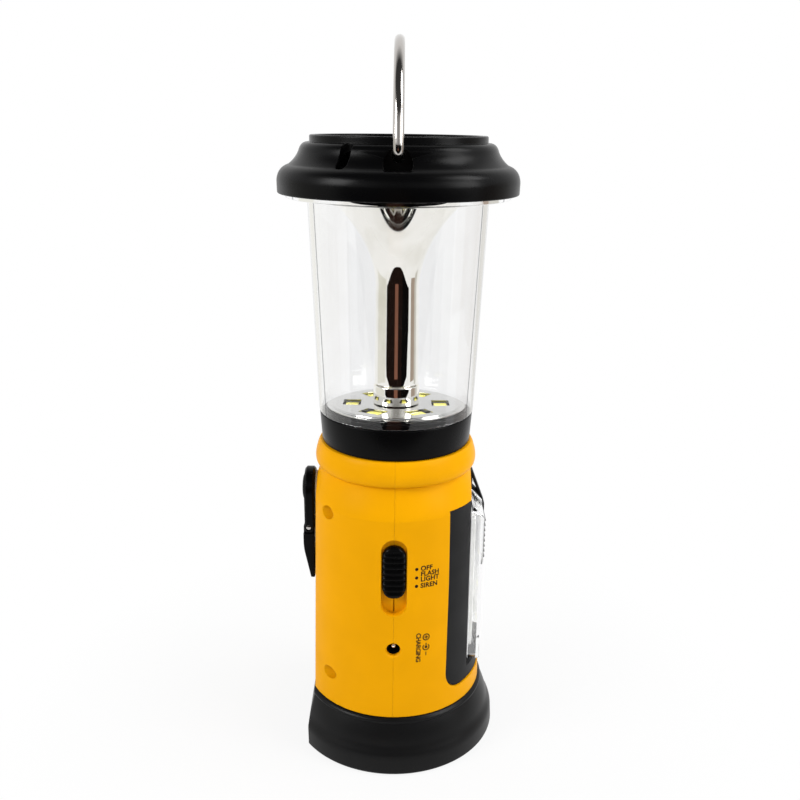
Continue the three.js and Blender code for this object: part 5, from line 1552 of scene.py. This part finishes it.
@dataclass
class Crank:
    """The folding crank: arm with its hub and cap, pinned grip and the nylon bush behind it."""

    axis: float = CRANK_AXIS
    inner: float = 30.6
    outer: float = 34.5
    hub: float = 7.8
    half: float = 7.0
    cheek: float = 2.0
    fold: float = 85.7
    fold_out: float = 33.0
    fold_round: float = 2.2
    pin: float = 1.0
    pin_half: float = 6.7
    grip_low: float = 64.7
    grip_waist: float = 77.4
    grip_inner: float = 30.9
    grip_outer: float = 35.1
    cap_radius: float = 5.0
    cap_in: float = 34.6
    cap_out: float = 35.6
    bush_radius: float = 4.2
    bush_flange: float = 6.2
    bush_bore: float = 2.7

    def arm(self) -> Object:
        """The arm: a belt round the hub and the two feet, forked and rounded at the fold."""
        feet = [(side * (self.half - 1.0), self.fold - self.fold_round + 1.0, 1.0) for side in (-1, 1)]
        outline = belt([(0, self.axis, self.hub), *feet])
        plate = slab("crank_plate", outline, -self.outer, -self.inner, 0.7, Axis.X, steps=1)
        gap = self.half - self.cheek
        slot = block("fork", (-BEYOND, -gap, 60), (0, gap, self.fold + 2.9))
        below = block("below", (-BEYOND, -20, 60), (0, 20, self.fold))
        nose = rod("nose", self.fold_round, -20, 20, Axis.Y, (-self.fold_out, 0, self.fold))
        worked(below, Cut.TAKE, nose)
        worked(plate, Cut.TAKE, slot)
        worked(plate, Cut.TAKE, below)
        hole = rod("pin_hole", self.pin + 0.2, -20, 20, Axis.Y, (-self.fold_out, 0, self.fold))
        bore = rod("hub_bore", self.bush_bore, -BEYOND, 0, Axis.X, (0, 0, self.axis))
        return worked(plate, Cut.TAKE, hole, bore)

    def grip(self) -> Object:
        """The grip: its side view extruded across with rounded rims, its eye narrow between the cheeks."""
        back, front, high = -self.grip_inner, -self.grip_outer, self.fold + 1.3
        side = eased([(back, high, 1.1), (front, high, 1.6), (front, self.grip_waist, 2.5),
                      (back - 1.5, self.grip_low, 0.4), (back, self.grip_low, 0.4)], closed=True)
        whole = slab("crank_handle", side, -self.half + FIT, self.half - FIT, 0.3, Axis.Y)
        eye = self.half - self.cheek - FIT
        shoulders = [block(f"shoulder_{i}", (-40, y0, self.fold - 2.5), (-25, y1, self.fold + 6))
                     for i, (y0, y1) in enumerate(((-20, -eye), (eye, 20)))]
        hole = rod("grip_hole", self.pin + 0.2, -20, 20, Axis.Y, (-self.fold_out, 0, self.fold))
        worked(whole, Cut.TAKE, *shoulders)
        return worked(whole, Cut.TAKE, hole)

    def build(self) -> None:
        """Makes the pieces and dresses them."""
        mount(self.arm(), GLOSS_BLACK, "crank", "crank_arm")
        rim, foot, top = self.cap_radius, -self.cap_in, -self.cap_out
        dome = np.concatenate([[(0, foot), (rim - 0.5, foot)],
                               bezier((rim, foot - 0.2), (rim - 0.6, top), (0, top), steps=12)])
        mount(turned("hub_cap", dome, 96, Axis.X, (0, 0, self.axis)), GLOSS_BLACK, "crank", "crank_cap")
        hinge = (-self.fold_out, 0, self.fold)
        pin = rod("fold_pin", self.pin, -self.pin_half, self.pin_half, Axis.Y, hinge, 0.25, 40)
        mount(pin, WIRE, "crank", "grip_pin")
        mount(self.grip(), GLOSS_BLACK, "grip", "crank_grip")
        bore, flange_radius = self.bush_bore, self.bush_flange
        flange = np.concatenate([
            eased([(bore, -30.45, 0), (flange_radius, -30.45, 0.2), (flange_radius, -29.75, 0.1)]),
            [(self.bush_radius, -29.75), (self.bush_radius, -27.0), (bore, -27.0)]])
        mount(turned("hub_bush", flange, 96, Axis.X, (0, 0, self.axis)), NYLON, "lantern", "crank_bush")


@dataclass
class Head:
    """The lantern head: collar, ring of lights, silvered disc, chrome trumpet and clear shade."""

    foot: float = 121.3
    collar_top: float = 132.5
    collar_foot_radius: float = 27.6
    collar_top_radius: float = 28.4
    disc_low: float = 135.1
    disc_high: float = 136.3
    disc_radius: float = 25.1
    face_radius: float = 23.6
    led_circle: float = 16.1
    leds: int = 6
    column: float = 7.9
    column_low: float = 143.7
    kink: float = 179.3
    kink_radius: float = 7.7
    rim: float = 208.7
    rim_radius: float = 23.4
    wall: float = 1.2
    shade_radius: float = 28.6
    shade_top_radius: float = 31.8
    shade_low: float = 132.8
    shade_high: float = 209.5
    shade_wall: float = 1.6
    flange_radius: float = 39.3
    flange_high: float = 211.5
    bore: float = 4.0
    skirt_inner: float = 24.2
    skirt_outer: float = 25.8
    skirt_low: float = 113.0
    tray_radius: float = 22.6
    tray_floor: float = 123.3
    tray_step: float = 24.6
    tray_high: float = 131.6
    window_radial: float = 6.4
    window_across: float = 8.6
    chip: float = 5.0
    chip_low: float = 133.8
    chip_high: float = 135.1
    gel: float = 4.7
    gel_high: float = 135.7
    ring_inner: float = 7.2
    ring_outer: float = 8.4
    neck_radius: float = 6.9

    def collar(self) -> Object:
        """The black collar with its upstand, its section turned once round."""
        high, rim, bore = self.collar_top, self.collar_top_radius - 1.7, self.bore
        profile = eased([
            (bore, self.foot, 0), (self.skirt_inner, self.foot, 0), (self.skirt_inner, self.skirt_low, 0),
            (self.skirt_outer, self.skirt_low, 0), (self.skirt_outer, self.foot, 0),
            (self.collar_foot_radius, self.foot, 0.25), (self.collar_top_radius, high, 0.35),
            (rim, high, 0.15), (rim, high + 1.9, 0.25), (rim - 0.8, high + 1.9, 0),
            (rim - 0.8, high + 2.3, 0.1), (self.tray_step, high + 2.3, 0),
            (self.tray_step, self.tray_high, 0), (self.tray_radius, self.tray_high, 0),
            (self.tray_radius, self.tray_floor, 0), (bore, self.tray_floor, 0)], steps=4)
        return turned("head_collar", profile, sides=192)

    def disc(self) -> Object:
        """The silvered disc with a window for each light."""
        low, high, rim, face = self.disc_low, self.disc_high, self.disc_radius, self.face_radius
        profile = eased([(self.bore, low, 0), (rim, low, 0.15), (rim, low + 0.6, 0.15),
                         (face + 0.2, low + 0.6, 0.1), (face, high, 0.25), (self.bore, high, 0)], steps=4)
        disc = turned("light_disc", profile, sides=192)
        size = (self.window_radial, self.window_across)
        return worked(disc, Cut.TAKE, *[self.turned_box(f"light_window_{i}", *size, 132, 139, i, 0.0)
                                        for i in range(self.leds)])

    def turned_box(self, name: str, radial: float, across: float, low: float, high: float, place: int,
                   edge: float) -> Object:
        """A box on the circle of lights, turned to face the axis.

        Args:
            name: the piece's name.
            radial: its size along the radius.
            across: its size along the circle.
            low: where it starts along Z.
            high: where it ends.
            place: which of the lights it belongs to, from 0.
            edge: the radius of its rims.

        Returns:
            The closed mesh object.
        """
        outline = box_outline(-radial / 2, radial / 2, -across / 2, across / 2, 0.3, 4) + [self.led_circle, 0]
        turn = 2 * math.pi * place / self.leds
        spin = np.array([(math.cos(turn), math.sin(turn)), (-math.sin(turn), math.cos(turn))])
        return slab(name, outline @ spin, low, high, edge)

    def trumpet(self) -> Object:
        """The reflector: a straight column that flares along a Bezier curve, doubled inwards for its wall."""
        rise, spread = self.rim - self.kink, self.rim_radius - self.kink_radius
        slope = rise / spread

        def flare(depth: float) -> Array:
            """The flare at a depth under its outer face."""
            start, stop = self.kink_radius - depth, self.rim_radius - depth
            return bezier((start, self.kink), (start + 0.3, self.kink + 0.37 * rise),
                          (self.kink_radius + 0.4 * spread - depth, self.rim - 0.32 * spread * slope),
                          (stop, self.rim), steps=44)

        foot, low, near = self.disc_high + FIT, self.column_low, self.column - 0.02
        bead = eased([(self.neck_radius, low, 0), (self.column, low, 0.3), (near, low + 4, 0)])[1:]
        column = np.linspace((near, low + 4), (self.kink_radius, self.kink), 12)[1:]
        neck = [(self.neck_radius, foot), (self.neck_radius, low)]
        outer = np.concatenate([neck, bead, column, flare(0.0)[1:]])
        inner = np.concatenate([flare(self.wall)[::-1], [(5.5, self.column_low), (5.7, foot)]])
        return turned("trumpet_mirror", np.concatenate([outer, inner]), sides=192)

    def shade(self) -> Object:
        """The clear shade: a slightly tapered wall under a wide flange, turned once round."""
        low, high, wall = self.shade_low, self.shade_high, self.shade_wall
        profile = eased([(self.shade_radius - wall, low, 0.2), (self.shade_radius, low, 0.4),
                         (self.shade_top_radius, high - 0.3, 1.0), (self.shade_top_radius + wall, high, 0.5),
                         (self.flange_radius, high, 0.3), (self.flange_radius, self.flange_high, 0.3),
                         (self.shade_top_radius - wall, self.flange_high, 0.5)], steps=6, closed=True)
        return turned("clear_shade", profile, sides=224)

    def build(self) -> None:
        """Makes the pieces and dresses them."""
        mount(self.collar(), GLOSS_BLACK, "lantern", "collar")
        mount(self.disc(), SILVER, "lantern", "reflector_disc")
        chip = (self.chip, self.chip, self.chip_low, self.chip_high)
        gel = (self.gel, self.gel, self.chip_high - 0.1, self.gel_high)
        for i in range(self.leds):
            package = self.turned_box(f"lantern_chip_{i + 1}", *chip, i, 0.15)
            mount(package, WHITE, "lantern", f"lantern_led_{i + 1}")
        for i in range(self.leds):
            mount(self.turned_box(f"lantern_gel_{i + 1}", *gel, i, 0.15), GEL, "lantern")
        low, high, near, far = self.disc_high + FIT, self.column_low - FIT, self.ring_inner, self.ring_outer
        ring = eased([(near, low, 0.1), (far, low, 0.2), (far, high, 0.35), (near, high, 0.1)], closed=True)
        mount(turned("column_ring", ring, sides=128), CHROME, "lantern", "column_foot_ring")
        mount(self.trumpet(), CHROME, "lantern", "trumpet_reflector")
        mount(self.shade(), CLEAR_TUBE, "lantern", "shade")


@dataclass
class Cap:
    """The black cap over the shade, with pockets for the bail and two vents."""

    foot: float = 211.0
    radius: float = 42.1
    rim_radius: float = 42.0
    belt: float = 215.2
    waist: float = 220.6
    waist_radius: float = 38.0
    neck: float = 225.2
    neck_radius: float = 34.4
    top: float = 228.0
    ring_radius: float = 30.7
    ring_high: float = 230.3
    ring_thick: float = 2.3
    ring_foot: float = 31.2
    dish: float = 228.4
    roof: float = 226.0
    lip: float = 39.6
    rib_inner: float = 22.7
    rib_outer: float = 24.2
    rib_low: float = 209.0
    sweep_inner: float = 34.15
    sweep_outer: float = 37.9
    pin_hole: float = 2.05
    pocket_radius: float = 4.9
    pocket_rise: float = 222.6
    pocket_floor: float = 33.3
    vent_turn: float = 29.0
    vent_width: float = 4.0

    def skin(self) -> Array:
        """The outer line from the foot up to the middle of the dish, over the raised ring."""
        waist, neck = (self.waist_radius, self.waist), (self.neck_radius, self.neck)
        brow, ring, inside = (self.ring_foot, self.top), self.ring_radius, self.ring_radius - self.ring_thick
        return np.concatenate([
            eased([(self.lip, self.foot, 0), (self.rim_radius, self.foot, 0.5), (self.radius, self.belt, 0)],
                  steps=4),
            bezier((self.radius, self.belt), (self.radius - 0.3, 219.4), waist, steps=14)[1:],
            bezier(waist, (self.neck_radius + 1.0, 222.6), neck, steps=14)[1:],
            bezier(neck, (self.neck_radius - 0.8, self.top), brow, steps=10)[1:],
            eased([(*brow, 0), (ring, self.top, 0.2), (ring, self.ring_high, 0.5),
                   (inside, self.ring_high, 0.9), (inside, self.dish, 0.4),
                   (self.rib_outer - 0.2, self.dish, 0), (0, self.dish, 0)], steps=5)[1:],
        ])

    def shell(self) -> Object:
        """The cap as a full turning, hollow below."""
        roof, near, far = self.roof, self.rib_inner, self.rib_outer
        under = np.array([(0, roof), (near, roof), (near, self.rib_low), (far, self.rib_low), (far, roof),
                          (30.8, roof), (32.4, 224.9), (36.0, 219.6), (40.1, self.belt), (37.3, 214.2),
                          (37.3, 211.8), (self.lip, 211.8)])
        return turned("top_cap", np.concatenate([under, self.skin()]), sides=240)

    def pocket_block(self, hand: int) -> Object:
        """The block that closes a pocket inside the cap, cut to the cap's skin.

        Args:
            hand: -1 for the pocket in front, 1 for the one behind.

        Returns:
            The closed mesh object.
        """
        near, far = sorted((hand * (self.pocket_floor - 1.9), hand * 39))
        reach = self.pocket_radius + 1.0
        outline = box_outline(-reach, reach, self.pocket_rise - 4.2, self.pocket_rise + 6.0, 2.0)
        filled = turned("cap_filled", np.concatenate([[(0, self.foot)], self.skin()]), sides=240)
        return worked(slab("pocket_block", outline, near, far, 0.0, Axis.Y), Cut.KEEP, filled)

    def bell(self) -> Array:
        """The outline of a pocket: a flat foot, upright sides and a top drawn in round the wire."""
        half, foot = self.pocket_radius, self.pocket_rise - 2.6
        top = self.pocket_rise + half - 0.5
        right = [(half - 0.3, foot, 1.0), (half - 0.1, foot + 3.2, 1.9), (2.5, top, 1.3)]
        left = [(-across, up, ease) for across, up, ease in right[::-1]]
        return eased(right + left, closed=True)

    def vent(self, name: str, turn: float) -> Object:
        """A slot's tool: a stadium outside the raised ring, turned about Z, that cuts through the skin.

        Args:
            name: the tool's name.
            turn: how far it lies from -Y towards -X, in radians.

        Returns:
            The closed mesh object.
        """
        outline = stadium(self.vent_width / 2, -38.4, -self.ring_radius - 0.5)
        spin = np.array([(math.cos(turn), -math.sin(turn)), (math.sin(turn), math.cos(turn))])
        return slab(name, outline @ spin, 216.4, 236.0, 0.0)

    def swing_room(self, hand: int) -> Object:
        """What the wire sweeps beside a pocket: a ball's shell about the pins' middle, over a wedge.

        Args:
            hand: -1 for the pocket in front, 1 for the one behind.

        Returns:
            The tool, above the lowest swing.
        """
        turn = np.linspace(0, math.radians(30), 24)
        arc = np.column_stack([np.sin(turn), np.cos(turn)]) * [1, hand]
        section = np.concatenate([self.sweep_inner * arc, self.sweep_outer * arc[::-1]])
        shell = turned("swing_room", section, 160, Axis.Y, (0, 0, BAIL_PIVOT))
        wedge = np.array([(0, 222.75), (16, 227.05), (16, 245), (-16, 245), (-16, 227.05)])
        near, far = sorted((hand * 20, hand * 45))
        return worked(shell, Cut.KEEP, slab("swing_wedge", wedge, near, far, 0.0, Axis.Y))

    def build(self) -> None:
        """Adds the pocket blocks, cuts pockets, swing room, pin holes and vents, and dresses the cap."""
        cap = self.shell()
        for hand in (-1, 1):
            worked(cap, Cut.ADD, self.pocket_block(hand))
        for hand in (-1, 1):
            near, far = sorted((hand * self.pocket_floor, hand * BEYOND))
            worked(cap, Cut.TAKE, slab("pocket", self.bell(), near, far, 0.0, Axis.Y))
            worked(cap, Cut.TAKE, self.swing_room(hand))
            near, far = sorted((hand * 28, hand * 40))
            hole = rod("pin_hole", self.pin_hole, near, far, Axis.Y, (0, 0, BAIL_PIVOT), sides=32)
            worked(cap, Cut.TAKE, hole)
        turn = math.radians(self.vent_turn)
        worked(cap, Cut.TAKE, self.vent("vent_front", turn), self.vent("vent_back", turn + math.pi))
        mount(cap, GLOSS_BLACK, "lantern", "cap")


@dataclass
class Bail:
    """The wire bail: two short pins, two tight bends and a half circle between them."""

    pivot: float = BAIL_PIVOT
    radius: float = 36.0
    wire: float = 1.75
    end: float = 31.0
    bend: float = 2.4

    def path(self) -> Array:
        """The centre line in (0, Y, Z): pin, quarter turn, arc about the pivot, and the mirror image."""
        start = math.asin(self.bend / self.radius)
        out = self.radius * math.cos(start)
        pin = np.column_stack([np.linspace(self.end, out - self.bend, 8)[:-1], np.zeros(7)])
        turn = np.linspace(0, math.pi / 2, 13)[:-1]
        corner = np.column_stack([out - self.bend + self.bend * np.sin(turn),
                                  self.bend - self.bend * np.cos(turn)])
        sweep = np.linspace(start, math.pi / 2, 61)
        arc = np.column_stack([self.radius * np.cos(sweep), self.radius * np.sin(sweep)])
        half = np.concatenate([pin, corner, arc])
        mirrored = half[:-1][::-1] * [-1, 1]
        line = np.concatenate([half, mirrored])
        return np.column_stack([np.zeros(len(line)), line[:, 0], line[:, 1] + self.pivot])

    def build(self) -> None:
        """Sweeps the wire with slightly rounded ends and dresses it."""
        path = self.path()
        radius = np.full(len(path), self.wire)
        radius[[0, -1]] = self.wire * 0.7
        mount(swept("bail_wire", path, radius, (1, 0, 0), 32), WIRE, "bail", "bail_handle")


@dataclass
class Insides:
    """The works inside the body, whose CAD shapes stay and only get their finishes."""

    def finishes(self) -> dict[Finish, tuple[str, ...]]:
        """The CAD nodes that each finish goes on."""
        return {
            NYLON: ("drive_gear", "idler_gear"),
            STEEL: ("crank_shaft", "idler_pin", "generator_rotor", "generator_stator", "slide_switch"),
            MATT_BLACK: ("gearbox_frame", "gearbox_cover", "siren", "battery_tray"),
            BOARD: ("front_board", "main_board", "side_led_board"),
            DARK_BOARD: ("lantern_led_board",),
            SLEEVE: ("battery_cell_1", "battery_cell_2", "battery_cell_3"),
        }

    def build(self) -> None:
        """Gives each CAD node its finish."""
        for finish, names in self.finishes().items():
            for name in names:
                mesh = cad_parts[name].data
                mesh.materials.clear()
                mesh.materials.append(finish.material())
                LOG.info("%s is finished in %s", name, finish.name)


@dataclass
class Studio:
    """The pale floor, the soft boxes, the glowing flags that paint reflections into the metal, and the
    camera.
    """

    camera_place: Place = (1.4, -324.4, 235.7)
    camera_pitch: float = 17.2
    camera_roll: float = 0.66
    lens: float = 40.9
    floor_radius: float = 4000.0
    flag_far: Sequence[float] = (1700.0, 1760.0, 1800.0)
    flag_rise: Sequence[float] = (0.0, 0.0, 60.0, 480.0)
    lamp_aim: Place = (0.0, 0.0, 120.0)
    ambient: float = 0.45
    white_share: float = 0.88
    sky_dark: float = 0.06

    def floor(self) -> None:
        """A round floor: white to the eye and to mirrors, with the shade of the object kept faintly."""
        outline = circle(self.floor_radius, sides=96)
        points = np.column_stack([outline, np.full(len(outline), -0.05)])
        floor = make("floor", points, [list(range(len(points)))], solid=False)
        material = bpy.data.materials.new("floor_paper")
        graph = blank(material)
        seen = graph.either_seen(graph.node("LightPath"))
        where = graph.node("TexCoord").outputs["Object"]
        away = graph.node("VectorMath", {0: where}, operation="LENGTH").outputs["Value"]
        white = graph.ramp(away, 0.05, 0.16, self.white_share, 1.0)
        share = graph.maths("MULTIPLY", seen, white)
        paper = graph.node("BsdfDiffuse", {"Color": (0.7, 0.7, 0.7)}).outputs["BSDF"]
        glow = graph.node("Emission", {"Color": (1.0, 1.0, 1.0), "Strength": 1.0}).outputs["Emission"]
        graph.finish(graph.node("MixShader", {0: share, 1: paper, 2: glow}).outputs["Shader"])
        floor.data.materials.append(material)

    def flag(self, name: str, start: float, stop: float, near: float, arch: float, lift: float,
             colour: Colour) -> None:
        """A glowing coloured sheet low around the lantern, seen only after one mirror has turned the ray: a
        painted reflection.

        It is the strip between two radii over an angle about -Y, bent up at its far end. Its near edge is
        an arch: at the angle t it lies at the near radius plus the arch's height times the cube of
        |t / 45 degrees|.

        Args:
            name: the sheet's name.
            start: where it starts, in degrees from -Y towards +X.
            stop: where it ends.
            near: its inner radius in front, in millimetres.
            arch: how much further out that edge lies at 45 degrees.
            lift: its height over the floor.
            colour: what it shows of itself.
        """
        aside = np.linspace(start, stop, 33)
        turn = np.radians(aside - 90)
        far = [radius + 0 * turn for radius in self.flag_far]
        reach = np.stack([near + arch * np.abs(aside / 45) ** 3, *far])
        height = np.array(self.flag_rise)[:, None] + lift + 0 * turn
        points = np.stack([reach * np.cos(turn), reach * np.sin(turn), height], axis=-1)
        flag = make(name, points, grid_faces(4, 33, False, False).tolist(), solid=False)
        material = bpy.data.materials.new(name)
        graph = blank(material)
        mirrored = graph.maths("COMPARE", graph.node("LightPath").outputs["Glossy Depth"], 1.0, 0.4)
        # painted reflection: the sheet glows in its colour for rays that one mirror has turned, and is clear
        # to all else
        reflection_glow = graph.node("Emission", {"Color": colour, "Strength": 1.0}).outputs["Emission"]
        gone = graph.node("BsdfTransparent").outputs["BSDF"]
        graph.finish(graph.node("MixShader", {0: mirrored, 1: gone, 2: reflection_glow}).outputs["Shader"])
        flag.data.materials.append(material)
        flag.visible_camera = False
        flag.visible_diffuse = False
        flag.visible_shadow = False

    def lamp(self, name: str, place: Place, size: float, power: float) -> None:
        """A square soft box that looks at the middle of the lantern.

        Args:
            name: the lamp's name.
            place: where it stands.
            size: the length of its sides, in millimetres.
            power: its power, in watts.
        """
        light = bpy.data.lights.new(name, "AREA")
        light.shape, light.size, light.energy = "SQUARE", size * MM, power
        holder = linked(name, light)
        holder.location = Vector(place) * MM
        aim = Vector(self.lamp_aim) * MM - holder.location
        holder.rotation_euler = aim.to_track_quat("-Z", "Y").to_euler()

    def world(self) -> None:
        """A white surround for the eye, and a plain level for the rest.

        Mirrors see it dark in front, where |x| is small or z is large, y is below 0.6 and z above zero.
        Rays through one wall of glass only see it darker far aside, which draws the shade's edges.
        """
        world = bpy.data.worlds.new("surround")
        bpy.context.scene.world = world
        graph = blank(world)
        path = graph.node("LightPath")
        way = graph.node("SeparateXYZ", {0: graph.node("TexCoord").outputs["Generated"]}).outputs
        across = graph.maths("ABSOLUTE", way["X"])
        aside = graph.ramp(across, 0.2, 0.5, 1.0, 0.0)
        high = graph.ramp(way["Z"], 0.45, 0.65, 0.0, 1.0)
        above = graph.ramp(way["Z"], 0.0, 0.12, 0.0, 1.0)
        front = graph.ramp(way["Y"], 0.2, 0.6, 1.0, 0.0)
        wide = graph.maths("MAXIMUM", graph.maths("MULTIPLY", aside, 0.6), high)
        dark = graph.maths("MULTIPLY", graph.maths("MULTIPLY", wide, above), front)
        once = graph.ramp(path.outputs["Transmission Depth"], 3.0, 3.5, 0.0, 1.0)
        single = graph.maths("SUBTRACT", path.outputs["Is Transmission Ray"], once)
        single = graph.maths("MAXIMUM", single, 0.0)
        rim = graph.maths("MULTIPLY", graph.ramp(across, 0.13, 0.27, 0.0, 1.0), single)
        mirrored = graph.maths("ADD", graph.maths("MULTIPLY", dark, path.outputs["Is Glossy Ray"]), rim)
        full = graph.ramp(graph.either_seen(path), 0.0, 1.0, self.ambient, 1.0)
        strength = graph.maths("MULTIPLY", full, graph.ramp(mirrored, 0.0, 1.0, 1.0, self.sky_dark))
        back = graph.node("Background", {"Color": (1.0, 1.0, 1.0), "Strength": strength})
        graph.finish(back.outputs["Background"], "OutputWorld")

    def camera(self) -> None:
        """The camera at the photograph's angle."""
        data = bpy.data.cameras.new("camera")
        data.lens, data.sensor_width = self.lens, 36.0
        holder = linked("camera", data)
        tilt = Matrix.Rotation(math.radians(90 - self.camera_pitch), 4, "X")
        roll = Matrix.Rotation(math.radians(self.camera_roll), 4, "Z")
        holder.matrix_world = Matrix.Translation(Vector(self.camera_place) * MM) @ tilt @ roll
        bpy.context.scene.camera = holder

    def build(self) -> None:
        """Sets the stage."""
        self.floor()
        # glowing sheets that paint reflections into the chrome: a dark band in front, a brown band, pale and
        # brown sides
        self.flag("dark_flag", -57, 64, 230.0, 250.0, 2.0, (0.0035, 0.003, 0.0028))
        self.flag("wood_flag", -11, 6, 560.0, 300.0, 5.0, (0.225, 0.098, 0.064))
        self.flag("pale_flag_left", -120, -61, 470.0, 0.0, 2.0, (0.84, 0.83, 0.77))
        self.flag("brown_flag", 78, 104, 420.0, 10.0, 5.0, (0.42, 0.34, 0.28))
        self.flag("pale_flag_right", 104, 122, 470.0, 0.0, 2.0, (0.66, 0.64, 0.59))
        self.world()
        self.camera()
        self.lamp("key_box", (-760, -420, 620), 420, 6.6)
        self.lamp("fill_box", (800, -380, 520), 420, 4.4)
        self.lamp("top_box", (640, -60, 860), 380, 4.2)
        bpy.context.scene.view_settings.view_transform = "Standard"


def main() -> None:
    """Builds the lantern, assembly by assembly, and its stage."""
    logging.basicConfig(level=logging.INFO, format="%(name)s: %(message)s")
    Studio().build()
    body = Body()
    for assembly in (Foot(), body, Front(body), SideLamp(body), Crank(), Head(), Cap(), Bail(), Insides()):
        LOG.info("building %s", type(assembly).__name__)
        assembly.build()


if __name__ == "__main__":
    main()
